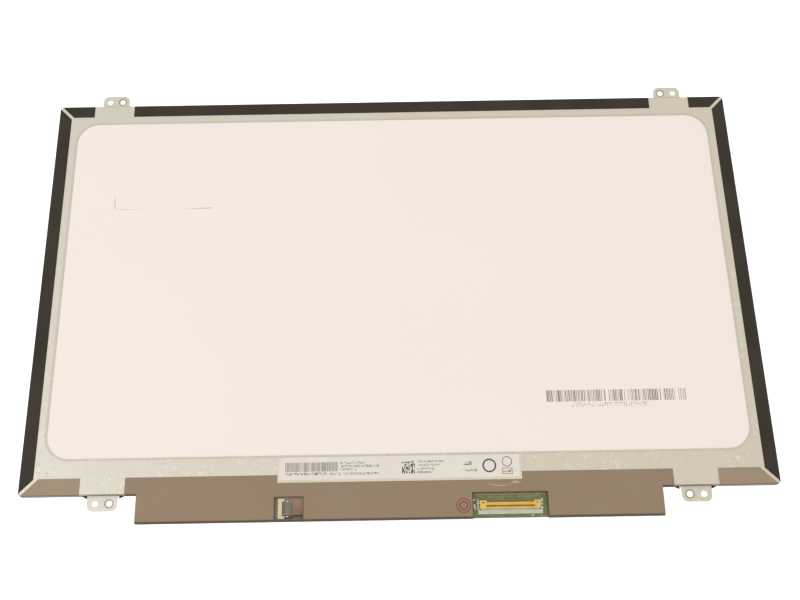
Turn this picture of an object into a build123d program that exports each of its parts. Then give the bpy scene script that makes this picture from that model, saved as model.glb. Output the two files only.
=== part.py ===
from build123d import *
import os

# A slim laptop screen panel, lying on its display face with its back up, in millimetres.
# +X runs along its lower edge, +Y points to its upper edge and +Z out of its back.
# The origin is under the middle of the whole outline, on the plane of the display face.

# Liquid-crystal cell
active_width = 309.4
active_height = 173.95
glass_side_margin = 3.1
glass_head_margin = 2.425
glass_foot_margin = 2.5
bond_ledge = 4.2
polariser_margin = 1.6
polariser_thickness = 0.2
filter_glass_thickness = 0.4
array_glass_thickness = 0.4
cell_tape_thickness = 0.1
cell_tape_margin = 0.6

# Moulded frame round the cell and the sheets
mould_wall = 1.2
mould_bar = 2.2
lip_thickness = 0.3
lip_margin = 1.0
glass_clearance = 0.75
foot_clearance = 2.075
fit_gap = 0.05
gate_clearance = 1.0
tail_clearance = 0.3

# Backlight sheets
prism_thickness = 0.15
diffuser_thickness = 0.15
guide_thickness = 0.7
reflector_thickness = 0.2
sheet_clearance = 0.25
sheet_foot_margin = 1.2
guide_foot_margin = 2.3
sheet_tab_width = 8.0
sheet_tab_reach = 0.9
sheet_tab_inset = 62.0

# Folded steel rear frame
steel_thickness = 0.3
steel_corner = 1.6
bend_radius = 0.4
side_wall_height = 2.4
foot_wall_height = 0.7
opening_side_margin = 9.75
opening_head_margin = 9.85
opening_foot_margin = 15.5
opening_radius = 10.2
rim_width = 1.0
rim_drop = 0.12

# Screw ears and the bare pads behind them
ear_width = 12.6
ear_corner = 2.6
ear_drop = 1.65
ear_relief = 0.5
ear_root_radius = 0.15
head_ear_reach = 6.4
head_ear_inset = 26.4
foot_ear_reach = 6.5
foot_ear_inset = 35.3
ear_hole_diameter = 2.7
ear_hole_pitch = 6.0
ear_hole_setback = 3.2
ear_sink_diameter = 4.0
ear_sink_angle = 158
pad_width = 19.0

# Tapes, cover film and sticker
tape_thickness = 0.1
tape_width = 6.0
tape_polariser_gap = 0.3
mitre_gap = 1.35
flap_width = 2.2
flap_reach = 1.0
film_width = 7.2
film_wrap_radius = 1.3
film_front_leg = 5.5
sticker_width = 101.6
sticker_height = 10.6
sticker_overlap = 3.3
sticker_shift = 0.2
sticker_ramp = 0.8
sticker_thickness = 0.1

# Circuit board along the lower edge
board_drop = 12.2
board_thickness = 0.6
board_corner = 0.8
board_ear_gap = 5.0
board_head_gap = 0.9
board_edge_gap = 0.15
board_end_gap = 0.3
headroom_gap = 0.15

# Forty-way cable socket in the open notch
socket_inset = 63.85
socket_height = 1.05
socket_width = 26.9
socket_body_width = 25.2
socket_depth = 5.55
socket_setback = 1.55
socket_floor = 0.35
socket_wall = 0.8
socket_cheek = 0.8
socket_lock_gap = 1.1
apron_depth = 2.1
shell_thickness = 0.15
shell_notch_depth = 0.75
shell_wing = 2.9
shell_slit_width = 0.65
shell_slit_setback = 1.15
shell_hole_diameter = 0.7
shell_hole_setback = 0.95
contact_count = 40
contact_pitch = 0.5
contact_width = 0.3
contact_thickness = 0.08
contact_tail = 0.7
contact_slot_gap = 0.04
notch_margin = 2.25
notch_head_gap = 0.6

# Flip-lock flex socket in the window
flex_socket_inset = 61.5
flex_socket_length = 8.4
flex_socket_rise = 5.1
flex_socket_arm = 1.1
flex_socket_arm_reach = 0.45
flex_socket_block = 1.65
flex_socket_floor = 0.12
lever_radius = 0.24
lever_thickness = 0.34
lever_reach = 3.4
lever_root_gap = 0.7
lever_lug = 0.8
lever_gap = 0.06
lever_end_gap = 0.4
lever_block_gap = 0.3
lever_pin_diameter = 0.36
lever_pin_gap = 0.05
lever_pin_depth = 0.3
flex_contact_count = 9
flex_contact_width = 0.2
flex_contact_reach = 1.3
flex_contact_height = 0.4
flex_contact_thickness = 0.12
tab_reach = 1.65
tab_width = 0.6
tab_hold = 0.35
tab_thickness = 0.12
tab_tip = 0.5
tab_height = 0.4
window_back_gap = 1.5
window_width = 12.0
window_head_gap = 1.2
window_foot_gap = 0.65

# Light-emitting diodes and their flex
flex_thickness = 0.12
flex_gap = 0.03
led_count = 42
led_length = 3.8
led_depth = 1.2
led_height = 0.6
led_gap = 0.15
led_end_margin = 6.0
tail_width = 5.0
tail_leg = 9.5
tail_tab_gap = 0.2

# Column-driver flexes with their chips
driver_flex_count = 3
driver_flex_width = 36.0
driver_flex_thickness = 0.06
driver_flex_gap = 0.5
driver_bond = 2.6
driver_bend_radius = 0.5
driver_chip_length = 20.0
driver_chip_width = 1.2
driver_chip_height = 0.25
driver_chip_gap = 0.3

# Components on the board
timing_chip_size = 8.0
timing_chip_height = 0.8
timing_chip_offset = 31.0
backlight_chip_size = 4.0
backlight_chip_height = 0.75
backlight_chip_offset = 17.0
coil_size = 4.0
coil_height = 1.0
coil_corner = 1.0
coil_offset = 26.0
chip_chamfer = 0.15
capacitor_length = 1.6
capacitor_width = 0.8
capacitor_height = 0.8
capacitor_pitch = 2.4
capacitor_row_gap = 5.0
capacitor_columns = 6

# Heights above the display face
z_filter = polariser_thickness
z_array = z_filter + filter_glass_thickness
z_rear_polariser = z_array + array_glass_thickness
z_cell_tape = z_rear_polariser + polariser_thickness
z_lip = z_cell_tape + cell_tape_thickness
z_sheets = z_lip + lip_thickness
z_lower_prism = z_sheets + prism_thickness
z_diffuser = z_lower_prism + prism_thickness
z_guide = z_diffuser + diffuser_thickness
z_reflector = z_guide + guide_thickness
z_flange = z_reflector + reflector_thickness
z_rear = z_flange + steel_thickness
z_tape = z_rear + tape_thickness
z_wall_foot = z_rear - side_wall_height
z_foot_wall = z_rear - foot_wall_height
z_ear_top = z_rear - ear_drop
z_ear = z_ear_top - steel_thickness
z_board_top = z_rear - headroom_gap - socket_height
z_board = z_board_top - board_thickness

# Outline of the panel, from the active area outwards
skin = tape_thickness + steel_thickness + fit_gap
side_border = glass_side_margin + glass_clearance + mould_wall + skin
head_border = glass_head_margin + glass_clearance + mould_wall + skin
foot_border = glass_foot_margin + bond_ledge + foot_clearance + skin
panel_width = active_width + 2 * side_border
panel_height = active_height + head_border + foot_border
panel_right = panel_width / 2
panel_left = -panel_right
panel_top = (panel_height + board_drop - head_ear_reach) / 2
panel_bottom = panel_top - panel_height
panel_middle = (panel_top + panel_bottom) / 2

# Steel, mould and glass edges
steel_right = panel_right - tape_thickness
steel_left = -steel_right
steel_top = panel_top - tape_thickness
steel_bottom = panel_bottom + tape_thickness
mould_right = steel_right - steel_thickness - fit_gap
mould_top = steel_top - steel_thickness - fit_gap
mould_bottom = steel_bottom + steel_thickness + fit_gap
mould_corner = steel_corner - steel_thickness - fit_gap
cavity_right = mould_right - mould_bar
cavity_top = mould_top - mould_bar
cavity_bottom = mould_bottom + mould_bar
glass_right = mould_right - mould_wall - glass_clearance
glass_top = mould_top - mould_wall - glass_clearance
array_bottom = mould_bottom + foot_clearance
filter_bottom = array_bottom + bond_ledge
active_right = active_width / 2
active_bottom = filter_bottom + glass_foot_margin
active_top = active_bottom + active_height
polariser_right = active_right + polariser_margin
polariser_top = active_top + polariser_margin
polariser_bottom = active_bottom - polariser_margin
lip_right = active_right + lip_margin
lip_top = active_top + lip_margin
lip_bottom = active_bottom - lip_margin

# Sheet edges and the row of diodes
sheet_right = cavity_right - sheet_clearance
sheet_top = cavity_top - sheet_clearance
sheet_bottom = active_bottom - sheet_foot_margin
guide_bottom = active_bottom - guide_foot_margin
sheet_tab_x = sheet_right - sheet_tab_inset
led_top = guide_bottom - led_gap
led_row = 2 * (sheet_right - led_end_margin) - led_length
led_pitch = led_row / (led_count - 1)
led_flex_top = guide_bottom + guide_foot_margin - sheet_foot_margin - sheet_clearance
led_flex_bottom = cavity_bottom + sheet_clearance

# Ear, tape and film edges
head_ear_x = panel_right - head_ear_inset
foot_ear_x = panel_right - foot_ear_inset
head_hole_y = panel_top + head_ear_reach - ear_hole_setback
foot_hole_y = panel_bottom - foot_ear_reach + ear_hole_setback
tape_front_right = polariser_right + tape_polariser_gap
tape_front_top = polariser_top + tape_polariser_gap
tape_front_bottom = polariser_bottom - tape_polariser_gap
tape_front_radius = steel_thickness + fit_gap
tape_bend_top = steel_top - tape_front_radius - fit_gap
film_head = panel_bottom + film_width
film_foot = panel_bottom - board_drop
film_right = foot_ear_x - pad_width / 2 - board_ear_gap
film_wrap = film_foot + tape_thickness

# Board edges, sockets and windows
board_right = film_right - board_end_gap
board_left = -board_right
board_top = panel_bottom - board_head_gap
board_bottom = film_wrap + board_edge_gap
board_middle = (board_top + board_bottom) / 2
socket_x = board_right - socket_inset
socket_front = board_bottom + socket_setback
socket_back = socket_front + socket_depth
housing_back = socket_back - shell_notch_depth
contact_row = (contact_count - 1) * contact_pitch + contact_width
z_socket_floor = z_board_top + socket_floor
z_socket_roof = z_board_top + socket_height
z_shell = z_socket_roof - shell_thickness
shell_front = socket_front + apron_depth
lever_x = board_left + flex_socket_inset
flex_socket_y = board_bottom + flex_socket_rise
block_front = lever_x - lever_radius - lever_block_gap
block_back = block_front - flex_socket_block
arm_end = lever_x + flex_socket_arm_reach
z_tail = z_board_top + flex_socket_floor + flex_gap
z_lever = z_tail + flex_thickness + lever_gap + lever_radius
z_block = z_lever + lever_radius + lever_gap
lever_length = flex_socket_length - 2 * flex_socket_arm - 2 * lever_end_gap
window_left = block_back - window_back_gap
tail_left = arm_end + tab_reach + tail_tab_gap
driver_flex_pitch = 2 * board_right / driver_flex_count


# Writes one finished piece under its own name
def save(piece, name):
    piece.part.label = name
    export_step(piece.part, f"parts/{name}.step")


# Adds a rectangle given by its four edges
def bounds(left, right, bottom, top, mode=Mode.ADD):
    with Locations(((left + right) / 2, (bottom + top) / 2)):
        Rectangle(right - left, top - bottom, mode=mode)


# Upright plane beside a corner's diagonal, facing the strip that is trimmed by it
def mitre(corner_x, corner_y, facing):
    normal = Vector(*facing).normalized()
    return Plane(origin=Vector(corner_x, corner_y, 0) + normal * (mitre_gap / 2), z_dir=normal)


os.makedirs("parts", exist_ok=True)

# Front polariser, the face that the panel lies on
with BuildPart() as front_polariser:
    with BuildSketch():
        bounds(-polariser_right, polariser_right, polariser_bottom, polariser_top)
    extrude(amount=polariser_thickness)
save(front_polariser, "front_polariser")

# Colour filter glass
with BuildPart() as filter_glass:
    with BuildSketch(Plane.XY.offset(z_filter)):
        bounds(-glass_right, glass_right, filter_bottom, glass_top)
    extrude(amount=filter_glass_thickness)
save(filter_glass, "filter_glass")

# Transistor array glass, longer at the foot for the driver flexes
with BuildPart() as array_glass:
    with BuildSketch(Plane.XY.offset(z_array)):
        bounds(-glass_right, glass_right, array_bottom, glass_top)
    extrude(amount=array_glass_thickness)
save(array_glass, "array_glass")

# Rear polariser
with BuildPart() as rear_polariser:
    with BuildSketch(Plane.XY.offset(z_rear_polariser)):
        bounds(-polariser_right, polariser_right, polariser_bottom, polariser_top)
    extrude(amount=polariser_thickness)
save(rear_polariser, "rear_polariser")

# Black tape frame that holds the cell on the moulded lip
with BuildPart() as cell_tape:
    with BuildSketch(Plane.XY.offset(z_cell_tape)):
        bounds(-glass_right, glass_right, array_bottom, glass_top)
        bounds(
            -active_right - cell_tape_margin,
            active_right + cell_tape_margin,
            active_bottom - cell_tape_margin,
            active_top + cell_tape_margin,
            mode=Mode.SUBTRACT,
        )
    extrude(amount=cell_tape_thickness)
save(cell_tape, "cell_tape")

# Moulded frame with its body, inner lip and the wall round the glass
with BuildPart() as mould_frame:
    with BuildSketch(Plane.XY.offset(z_lip)):
        with Locations((0, panel_middle)):
            RectangleRounded(2 * mould_right, mould_top - mould_bottom, mould_corner)
        bounds(-cavity_right, cavity_right, cavity_bottom, cavity_top, mode=Mode.SUBTRACT)
    extrude(amount=z_flange - z_lip)
    with BuildSketch(Plane.XY.offset(z_lip)):
        bounds(-cavity_right, cavity_right, cavity_bottom, cavity_top)
        bounds(-lip_right, lip_right, lip_bottom, lip_top, mode=Mode.SUBTRACT)
    extrude(amount=lip_thickness)
    with BuildSketch(Plane.XY.offset(z_filter)):
        with Locations((0, panel_middle)):
            RectangleRounded(2 * mould_right, mould_top - mould_bottom, mould_corner)
        bounds(
            -mould_right + mould_wall,
            mould_right - mould_wall,
            mould_bottom + mould_wall,
            mould_top - mould_wall,
            mode=Mode.SUBTRACT,
        )
    extrude(amount=z_lip - z_filter)
    # Gates in the lower wall for the driver flexes
    with BuildSketch(Plane.XY.offset(z_filter)):
        with Locations((0, mould_bottom)):
            with GridLocations(driver_flex_pitch, 0, driver_flex_count, 1):
                Rectangle(driver_flex_width + 2 * gate_clearance, 2 * mould_wall)
    extrude(amount=z_lip - z_filter, mode=Mode.SUBTRACT)
    # Slot in the lower bar for the tail of the diode flex
    with BuildSketch(Plane.XY.offset(z_sheets)):
        with Locations((tail_left + tail_leg / 2, mould_bottom)):
            Rectangle(tail_leg + 2 * tail_clearance, 2 * mould_bar)
    extrude(amount=z_tail + flex_thickness + tail_clearance - z_sheets, mode=Mode.SUBTRACT)
    # Pockets in the upper bar for the sheets' locating tabs
    with BuildSketch(Plane.XY.offset(z_sheets)):
        with Locations((0, cavity_top)):
            with GridLocations(2 * sheet_tab_x, 0, 2, 1):
                Rectangle(sheet_tab_width + 2 * sheet_clearance, 2 * sheet_tab_reach)
    extrude(amount=z_flange - z_sheets, mode=Mode.SUBTRACT)
save(mould_frame, "mould_frame")


# Outline of one backlight sheet, with its two locating tabs
def sheet_outline(foot):
    bounds(-sheet_right, sheet_right, foot, sheet_top)
    with Locations((0, sheet_top)):
        with GridLocations(2 * sheet_tab_x, 0, 2, 1):
            Rectangle(sheet_tab_width, 2 * sheet_tab_reach)


# Prism sheet next to the cell
with BuildPart() as upper_prism_sheet:
    with BuildSketch(Plane.XY.offset(z_sheets)):
        sheet_outline(sheet_bottom)
    extrude(amount=prism_thickness)
save(upper_prism_sheet, "upper_prism_sheet")

# Prism sheet behind it
with BuildPart() as lower_prism_sheet:
    with BuildSketch(Plane.XY.offset(z_lower_prism)):
        sheet_outline(sheet_bottom)
    extrude(amount=prism_thickness)
save(lower_prism_sheet, "lower_prism_sheet")

# Diffuser against the light guide
with BuildPart() as diffuser_sheet:
    with BuildSketch(Plane.XY.offset(z_diffuser)):
        sheet_outline(sheet_bottom)
    extrude(amount=diffuser_thickness)
save(diffuser_sheet, "diffuser_sheet")

# Light guide, reaching down to the diodes
with BuildPart() as light_guide:
    with BuildSketch(Plane.XY.offset(z_guide)):
        sheet_outline(guide_bottom)
    extrude(amount=guide_thickness)
save(light_guide, "light_guide")

# White reflector, seen through the rear opening
with BuildPart() as reflector_sheet:
    with BuildSketch(Plane.XY.offset(z_reflector)):
        sheet_outline(guide_bottom)
    extrude(amount=reflector_thickness)
save(reflector_sheet, "reflector_sheet")

# Steel rear frame: a drawn tray with a large opening and four ears folded out of its walls
with BuildPart() as rear_frame:
    with BuildSketch(Plane.XY.offset(z_wall_foot)):
        with Locations((0, panel_middle)):
            RectangleRounded(2 * steel_right, steel_top - steel_bottom, steel_corner)
    extrude(amount=side_wall_height)
    fillet(rear_frame.faces().sort_by(Axis.Z)[-1].edges(), bend_radius)
    with BuildSketch(Plane.XY.offset(z_wall_foot)):
        with Locations((0, panel_middle)):
            RectangleRounded(
                2 * (steel_right - steel_thickness),
                steel_top - steel_bottom - 2 * steel_thickness,
                steel_corner - steel_thickness,
            )
    extrude(amount=side_wall_height - steel_thickness, mode=Mode.SUBTRACT)
    # Rounded opening over the reflector
    with BuildSketch(Plane.XY.offset(z_flange)) as opening:
        bounds(
            panel_left + opening_side_margin,
            panel_right - opening_side_margin,
            panel_bottom + opening_foot_margin,
            panel_top - opening_head_margin,
        )
        fillet(opening.vertices(), opening_radius)
    extrude(amount=steel_thickness, mode=Mode.SUBTRACT)
    # Rim of the opening, pressed down a little towards the reflector
    flange = rear_frame.faces().sort_by(Axis.Z)[-1]
    chamfer(flange.inner_wires()[0].edges(), rim_width, rim_drop, reference=flange)
    # Lower wall cut short between the bare pads, where the flexes come out
    with BuildSketch(Plane.XY.offset(z_wall_foot)):
        with Locations((0, steel_bottom)):
            Rectangle(2 * foot_ear_x - pad_width, 4 * steel_thickness)
    extrude(amount=z_foot_wall - z_wall_foot, mode=Mode.SUBTRACT)
    # Walls cleared below the ears that are folded out of them
    with BuildSketch(Plane.XY.offset(z_wall_foot)):
        with Locations((0, steel_top)):
            with GridLocations(2 * head_ear_x, 0, 2, 1):
                Rectangle(ear_width + 2 * ear_relief, 4 * steel_thickness)
        with Locations((0, steel_bottom)):
            with GridLocations(2 * foot_ear_x, 0, 2, 1):
                Rectangle(ear_width + 2 * ear_relief, 4 * steel_thickness)
    extrude(amount=z_ear - z_wall_foot, mode=Mode.SUBTRACT)
    # Ears with rounded free ends
    with BuildSketch(Plane.XY.offset(z_ear)) as ears:
        for side in (-1, 1):
            ear_left = side * head_ear_x - ear_width / 2
            bounds(ear_left, ear_left + ear_width, steel_top - steel_thickness, panel_top + head_ear_reach)
        for side in (-1, 1):
            ear_left = side * foot_ear_x - ear_width / 2
            bounds(ear_left, ear_left + ear_width, panel_bottom - foot_ear_reach, steel_bottom + steel_thickness)
        fillet(ears.vertices().group_by(Axis.Y)[-1], ear_corner)
        fillet(ears.vertices().group_by(Axis.Y)[0], ear_corner)
    extrude(amount=steel_thickness)
    # Bends where the ears leave the walls
    ear_roots = rear_frame.edges().filter_by(Axis.X).filter_by(lambda edge: abs(edge.length - ear_width) < fit_gap)
    fillet(ear_roots.filter_by_position(Axis.Z, z_ear_top - fit_gap, z_ear_top + fit_gap), ear_root_radius)
    # Plain outer screw holes and dimpled inner screw holes
    for side in (-1, 1):
        head_outer = side * (head_ear_x + ear_hole_pitch / 2)
        head_inner = side * (head_ear_x - ear_hole_pitch / 2)
        foot_outer = side * (foot_ear_x + ear_hole_pitch / 2)
        foot_inner = side * (foot_ear_x - ear_hole_pitch / 2)
        with Locations((head_outer, head_hole_y, z_ear_top), (foot_outer, foot_hole_y, z_ear_top)):
            Hole(ear_hole_diameter / 2, depth=steel_thickness)
        with Locations((head_inner, head_hole_y, z_ear_top), (foot_inner, foot_hole_y, z_ear_top)):
            CounterSinkHole(ear_hole_diameter / 2, ear_sink_diameter / 2, steel_thickness, ear_sink_angle)
save(rear_frame, "rear_frame")

# Left edge tape, wrapped from the rear flange round the wall to the display side
with BuildPart() as edge_tape_left:
    with BuildSketch(Plane.XZ):
        with BuildLine():
            FilletPolyline(
                (panel_left + tape_width, z_rear),
                (steel_left, z_rear),
                (steel_left, z_filter),
                (-tape_front_right, z_filter),
                radius=[bend_radius, tape_front_radius],
            )
            offset(amount=tape_thickness, side=Side.RIGHT)
        make_face()
    extrude(amount=panel_height, both=True)
    split(bisect_by=mitre(panel_left, panel_top, (-1, -1)), keep=Keep.TOP)
    split(bisect_by=mitre(panel_left, panel_bottom, (-1, 1)), keep=Keep.TOP)
save(edge_tape_left, "edge_tape_left")

# Right edge tape
with BuildPart() as edge_tape_right:
    mirror(edge_tape_left.part, about=Plane.YZ)
save(edge_tape_right, "edge_tape_right")

# Upper edge tape, open at the bare pads behind the ears
with BuildPart() as edge_tape_top:
    with BuildSketch(Plane.YZ):
        with BuildLine():
            FilletPolyline(
                (panel_top - tape_width, z_rear),
                (steel_top, z_rear),
                (steel_top, z_filter),
                (tape_front_top, z_filter),
                radius=[bend_radius, tape_front_radius],
            )
            offset(amount=tape_thickness, side=Side.LEFT)
        make_face()
    extrude(amount=panel_width, both=True)
    split(bisect_by=mitre(panel_left, panel_top, (1, 1)), keep=Keep.TOP)
    split(bisect_by=mitre(panel_right, panel_top, (-1, 1)), keep=Keep.TOP)
    # At the pads only its display side stays
    with BuildSketch():
        with Locations((0, panel_top)):
            with GridLocations(2 * head_ear_x, 0, 2, 1):
                Rectangle(pad_width, 2 * (panel_top - tape_bend_top))
    extrude(amount=2 * z_tape, mode=Mode.SUBTRACT)
    with BuildSketch(Plane.XY.offset(z_guide)):
        with Locations((0, panel_top)):
            with GridLocations(2 * head_ear_x, 0, 2, 1):
                Rectangle(pad_width, 4 * tape_width)
    extrude(amount=2 * z_tape, mode=Mode.SUBTRACT)
save(edge_tape_top, "edge_tape_top")

# Lower edge tape on the display side, over the bonded ledge
with BuildPart() as edge_tape_bottom:
    with BuildSketch(Plane.XY.offset(z_filter - tape_thickness)):
        bounds(panel_left, panel_right, panel_bottom, tape_front_bottom)
        # Small flaps left standing beside the ears' roots
        root = ear_width / 2 + ear_relief
        for side in (-1, 1):
            with Locations((side * foot_ear_x, panel_bottom)):
                Polygon((root, 0), (root + flap_width, 0), (root, -flap_reach), align=None)
                Polygon((-root, 0), (-root - flap_width, 0), (-root, -flap_reach), align=None)
    extrude(amount=tape_thickness)
    split(bisect_by=mitre(panel_left, panel_bottom, (1, -1)), keep=Keep.TOP)
    split(bisect_by=mitre(panel_right, panel_bottom, (-1, -1)), keep=Keep.TOP)
save(edge_tape_bottom, "edge_tape_bottom")

# Cover film over the lower flange, wrapped round the board's lower edge
with BuildPart() as cover_film:
    with BuildSketch(Plane.YZ):
        with BuildLine():
            FilletPolyline(
                (film_head, z_rear),
                (film_wrap, z_rear),
                (film_wrap, z_board),
                (film_wrap + film_front_leg, z_board),
                radius=[film_wrap_radius, board_edge_gap],
            )
            offset(amount=tape_thickness, side=Side.RIGHT)
        make_face()
    extrude(amount=film_right)
    # End that reaches past the board to the bare pad
    with BuildSketch(Plane.YZ.offset(film_right)):
        with BuildLine():
            FilletPolyline(
                (film_head, z_rear),
                (steel_bottom, z_rear),
                (steel_bottom, z_foot_wall),
                radius=bend_radius,
            )
            offset(amount=tape_thickness, side=Side.RIGHT)
        make_face()
    extrude(amount=board_ear_gap)
    mirror(about=Plane.YZ)
    # Window over the flex socket
    with BuildSketch(Plane.XY.offset(z_board_top)):
        bounds(window_left, window_left + window_width, board_bottom + window_foot_gap, board_top - window_head_gap)
    extrude(amount=z_tape - z_board_top, mode=Mode.SUBTRACT)
    # Notch open to the lower edge for the cable socket
    with BuildSketch():
        bounds(
            socket_x - socket_width / 2 - notch_margin,
            socket_x + socket_width / 2 + notch_margin,
            film_foot - film_front_leg,
            board_top - notch_head_gap,
        )
    extrude(amount=z_tape, mode=Mode.SUBTRACT)
save(cover_film, "cover_film")

# Strip of the same film on the lower right corner, outside the bare pad
with BuildPart() as corner_film_right:
    with BuildSketch(Plane.YZ.offset(foot_ear_x + pad_width / 2)):
        with BuildLine():
            FilletPolyline(
                (film_head, z_rear),
                (steel_bottom, z_rear),
                (steel_bottom, z_wall_foot),
                radius=bend_radius,
            )
            offset(amount=tape_thickness, side=Side.RIGHT)
        make_face()
    extrude(amount=foot_ear_inset - pad_width / 2)
    split(bisect_by=mitre(panel_right, panel_bottom, (-1, -1)), keep=Keep.TOP)
save(corner_film_right, "corner_film_right")

# Strip on the lower left corner
with BuildPart() as corner_film_left:
    mirror(corner_film_right.part, about=Plane.YZ)
save(corner_film_left, "corner_film_left")

# Sticker that steps from the steel up on to the film
with BuildPart() as label_sticker:
    with BuildSketch(Plane.YZ.offset(sticker_shift - sticker_width / 2)):
        with BuildLine():
            Polyline(
                (film_head - sticker_overlap + sticker_height, z_rear),
                (film_head + sticker_ramp, z_rear),
                (film_head, z_tape),
                (film_head - sticker_overlap, z_tape),
            )
            offset(amount=sticker_thickness, side=Side.RIGHT)
        make_face()
    extrude(amount=sticker_width)
save(label_sticker, "label_sticker")

# Circuit board
with BuildPart() as circuit_board:
    with BuildSketch(Plane.XY.offset(z_board)):
        with Locations((0, board_middle)):
            RectangleRounded(2 * board_right, board_top - board_bottom, board_corner)
    extrude(amount=board_thickness)
save(circuit_board, "circuit_board")

# Housing of the forty-way cable socket, open at its front
with BuildPart() as input_socket_housing:
    body_half = socket_body_width / 2
    with BuildSketch(Plane.XY.offset(z_board_top)):
        bounds(socket_x - body_half, socket_x + body_half, socket_front, housing_back)
        with Locations((socket_x, socket_front + apron_depth / 2)):
            Rectangle(socket_width, apron_depth)
    extrude(amount=socket_floor)
    with BuildSketch(Plane.XY.offset(z_socket_floor)):
        inner_half = body_half - socket_cheek
        wall_half = inner_half - socket_lock_gap
        bounds(socket_x - body_half, socket_x + body_half, shell_front, housing_back)
        bounds(socket_x - inner_half, socket_x + inner_half, shell_front, housing_back, mode=Mode.SUBTRACT)
        # Rear wall, short of the cheeks to leave room for the plug's locks
        bounds(socket_x - wall_half, socket_x + wall_half, housing_back - socket_wall, housing_back)
    extrude(amount=z_shell - z_socket_floor)
    # Slot through the rear wall for the row of contacts
    with BuildSketch(Plane.XY.offset(z_socket_floor)):
        with Locations((socket_x, housing_back - socket_wall / 2)):
            Rectangle(contact_row + 2 * contact_slot_gap, 2 * socket_wall)
    extrude(amount=contact_thickness + contact_slot_gap, mode=Mode.SUBTRACT)
save(input_socket_housing, "input_socket_housing")

# Gold-plated shell that bridges the socket
with BuildPart() as input_socket_shell:
    shell_half = socket_body_width / 2 + shell_thickness
    with BuildSketch(Plane.XY.offset(z_board_top)):
        bounds(socket_x - shell_half, socket_x + shell_half, shell_front, socket_back)
    extrude(amount=socket_height)
    fillet(input_socket_shell.edges().filter_by(Axis.Y).group_by(Axis.Z)[-1], shell_thickness)
    with BuildSketch(Plane.XY.offset(z_board_top)):
        with Locations((socket_x, socket_front + socket_depth / 2)):
            Rectangle(socket_body_width, 2 * socket_depth)
    extrude(amount=socket_height - shell_thickness, mode=Mode.SUBTRACT)
    # Roof cut back between its end wings, and the slit over the contact row
    with BuildSketch(Plane.XY.offset(z_shell)):
        with Locations((socket_x, socket_back)):
            Rectangle(2 * (shell_half - shell_wing), 2 * shell_notch_depth)
        with Locations((socket_x, shell_front + shell_slit_setback)):
            SlotOverall(contact_row + shell_slit_width, shell_slit_width)
    extrude(amount=shell_thickness, mode=Mode.SUBTRACT)
    # Round holes in the wings that hold the plug
    with Locations((socket_x, socket_back - shell_hole_setback, z_socket_roof)):
        with GridLocations(2 * shell_half - shell_wing, 0, 2, 1):
            Hole(shell_hole_diameter / 2, depth=shell_thickness)
save(input_socket_shell, "input_socket_shell")

# One contact, bent down to the board behind the housing
with BuildPart() as input_contact:
    with BuildSketch(Plane.YZ.offset(socket_x - contact_width / 2)):
        with BuildLine():
            Polyline(
                (shell_front, z_socket_floor),
                (housing_back + contact_slot_gap, z_socket_floor),
                (housing_back + contact_slot_gap, z_board_top),
                (housing_back + contact_tail, z_board_top),
            )
            offset(amount=contact_thickness, side=Side.LEFT, kind=Kind.INTERSECTION)
        make_face()
    extrude(amount=contact_width)

# Row of contacts
with BuildPart() as input_socket_contacts:
    with GridLocations(contact_pitch, 0, contact_count, 1):
        add(input_contact.part)
save(input_socket_contacts, "input_socket_contacts")

# Housing of the flip-lock flex socket: a floor, a rear block and two arms that carry the lever
with BuildPart() as backlight_socket_housing:
    socket_low = flex_socket_y - flex_socket_length / 2
    socket_high = flex_socket_y + flex_socket_length / 2
    with BuildSketch(Plane.XY.offset(z_board_top)):
        bounds(block_back, arm_end, socket_low, socket_high)
    extrude(amount=flex_socket_floor)
    with BuildSketch(Plane.XY.offset(z_board_top)):
        bounds(block_back, arm_end, socket_low, socket_high)
        bounds(
            block_front,
            arm_end,
            socket_low + flex_socket_arm,
            socket_high - flex_socket_arm,
            mode=Mode.SUBTRACT,
        )
    extrude(amount=z_block - z_board_top)
    # Round bearings for the lever's pins
    with BuildSketch(Plane.XZ.offset(-flex_socket_y)):
        with Locations((lever_x, z_lever)):
            Circle(lever_pin_diameter / 2 + lever_pin_gap)
    extrude(amount=lever_length / 2 + lever_end_gap + lever_pin_depth, both=True, mode=Mode.SUBTRACT)
save(backlight_socket_housing, "backlight_socket_housing")

# Flip lever that clamps the flex: a plate on two hinge lugs, with a pin on each
with BuildPart() as backlight_socket_lever:
    with BuildSketch(Plane.XZ.offset(-flex_socket_y)):
        with Locations((lever_x, z_lever)):
            Circle(lever_radius)
        bounds(lever_x, lever_x + lever_reach, z_lever - lever_thickness / 2, z_lever + lever_thickness / 2)
    extrude(amount=lever_length / 2, both=True)
    with BuildSketch(Plane.XZ.offset(-flex_socket_y)):
        with Locations((lever_x, z_lever)):
            Circle(lever_pin_diameter / 2)
    extrude(amount=lever_length / 2 + lever_end_gap + lever_pin_depth - lever_pin_gap, both=True)
    # Space between the lugs
    with BuildSketch(Plane.XY.offset(z_lever - 2 * lever_radius)):
        bounds(
            lever_x - 2 * lever_radius,
            lever_x + lever_root_gap,
            flex_socket_y - lever_length / 2 + lever_lug,
            flex_socket_y + lever_length / 2 - lever_lug,
        )
    extrude(amount=4 * lever_radius, mode=Mode.SUBTRACT)
save(backlight_socket_lever, "backlight_socket_lever")

# One solder tail at the back of the flex socket
with BuildPart() as flex_contact:
    with BuildSketch(Plane.XZ.offset(-flex_socket_y)):
        with BuildLine():
            Polyline(
                (block_back - flex_contact_reach, z_board_top),
                (block_back, z_board_top),
                (block_back, z_board_top + flex_contact_height),
            )
            offset(amount=flex_contact_thickness, side=Side.LEFT, kind=Kind.INTERSECTION)
        make_face()
    extrude(amount=flex_contact_width / 2, both=True)

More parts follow.
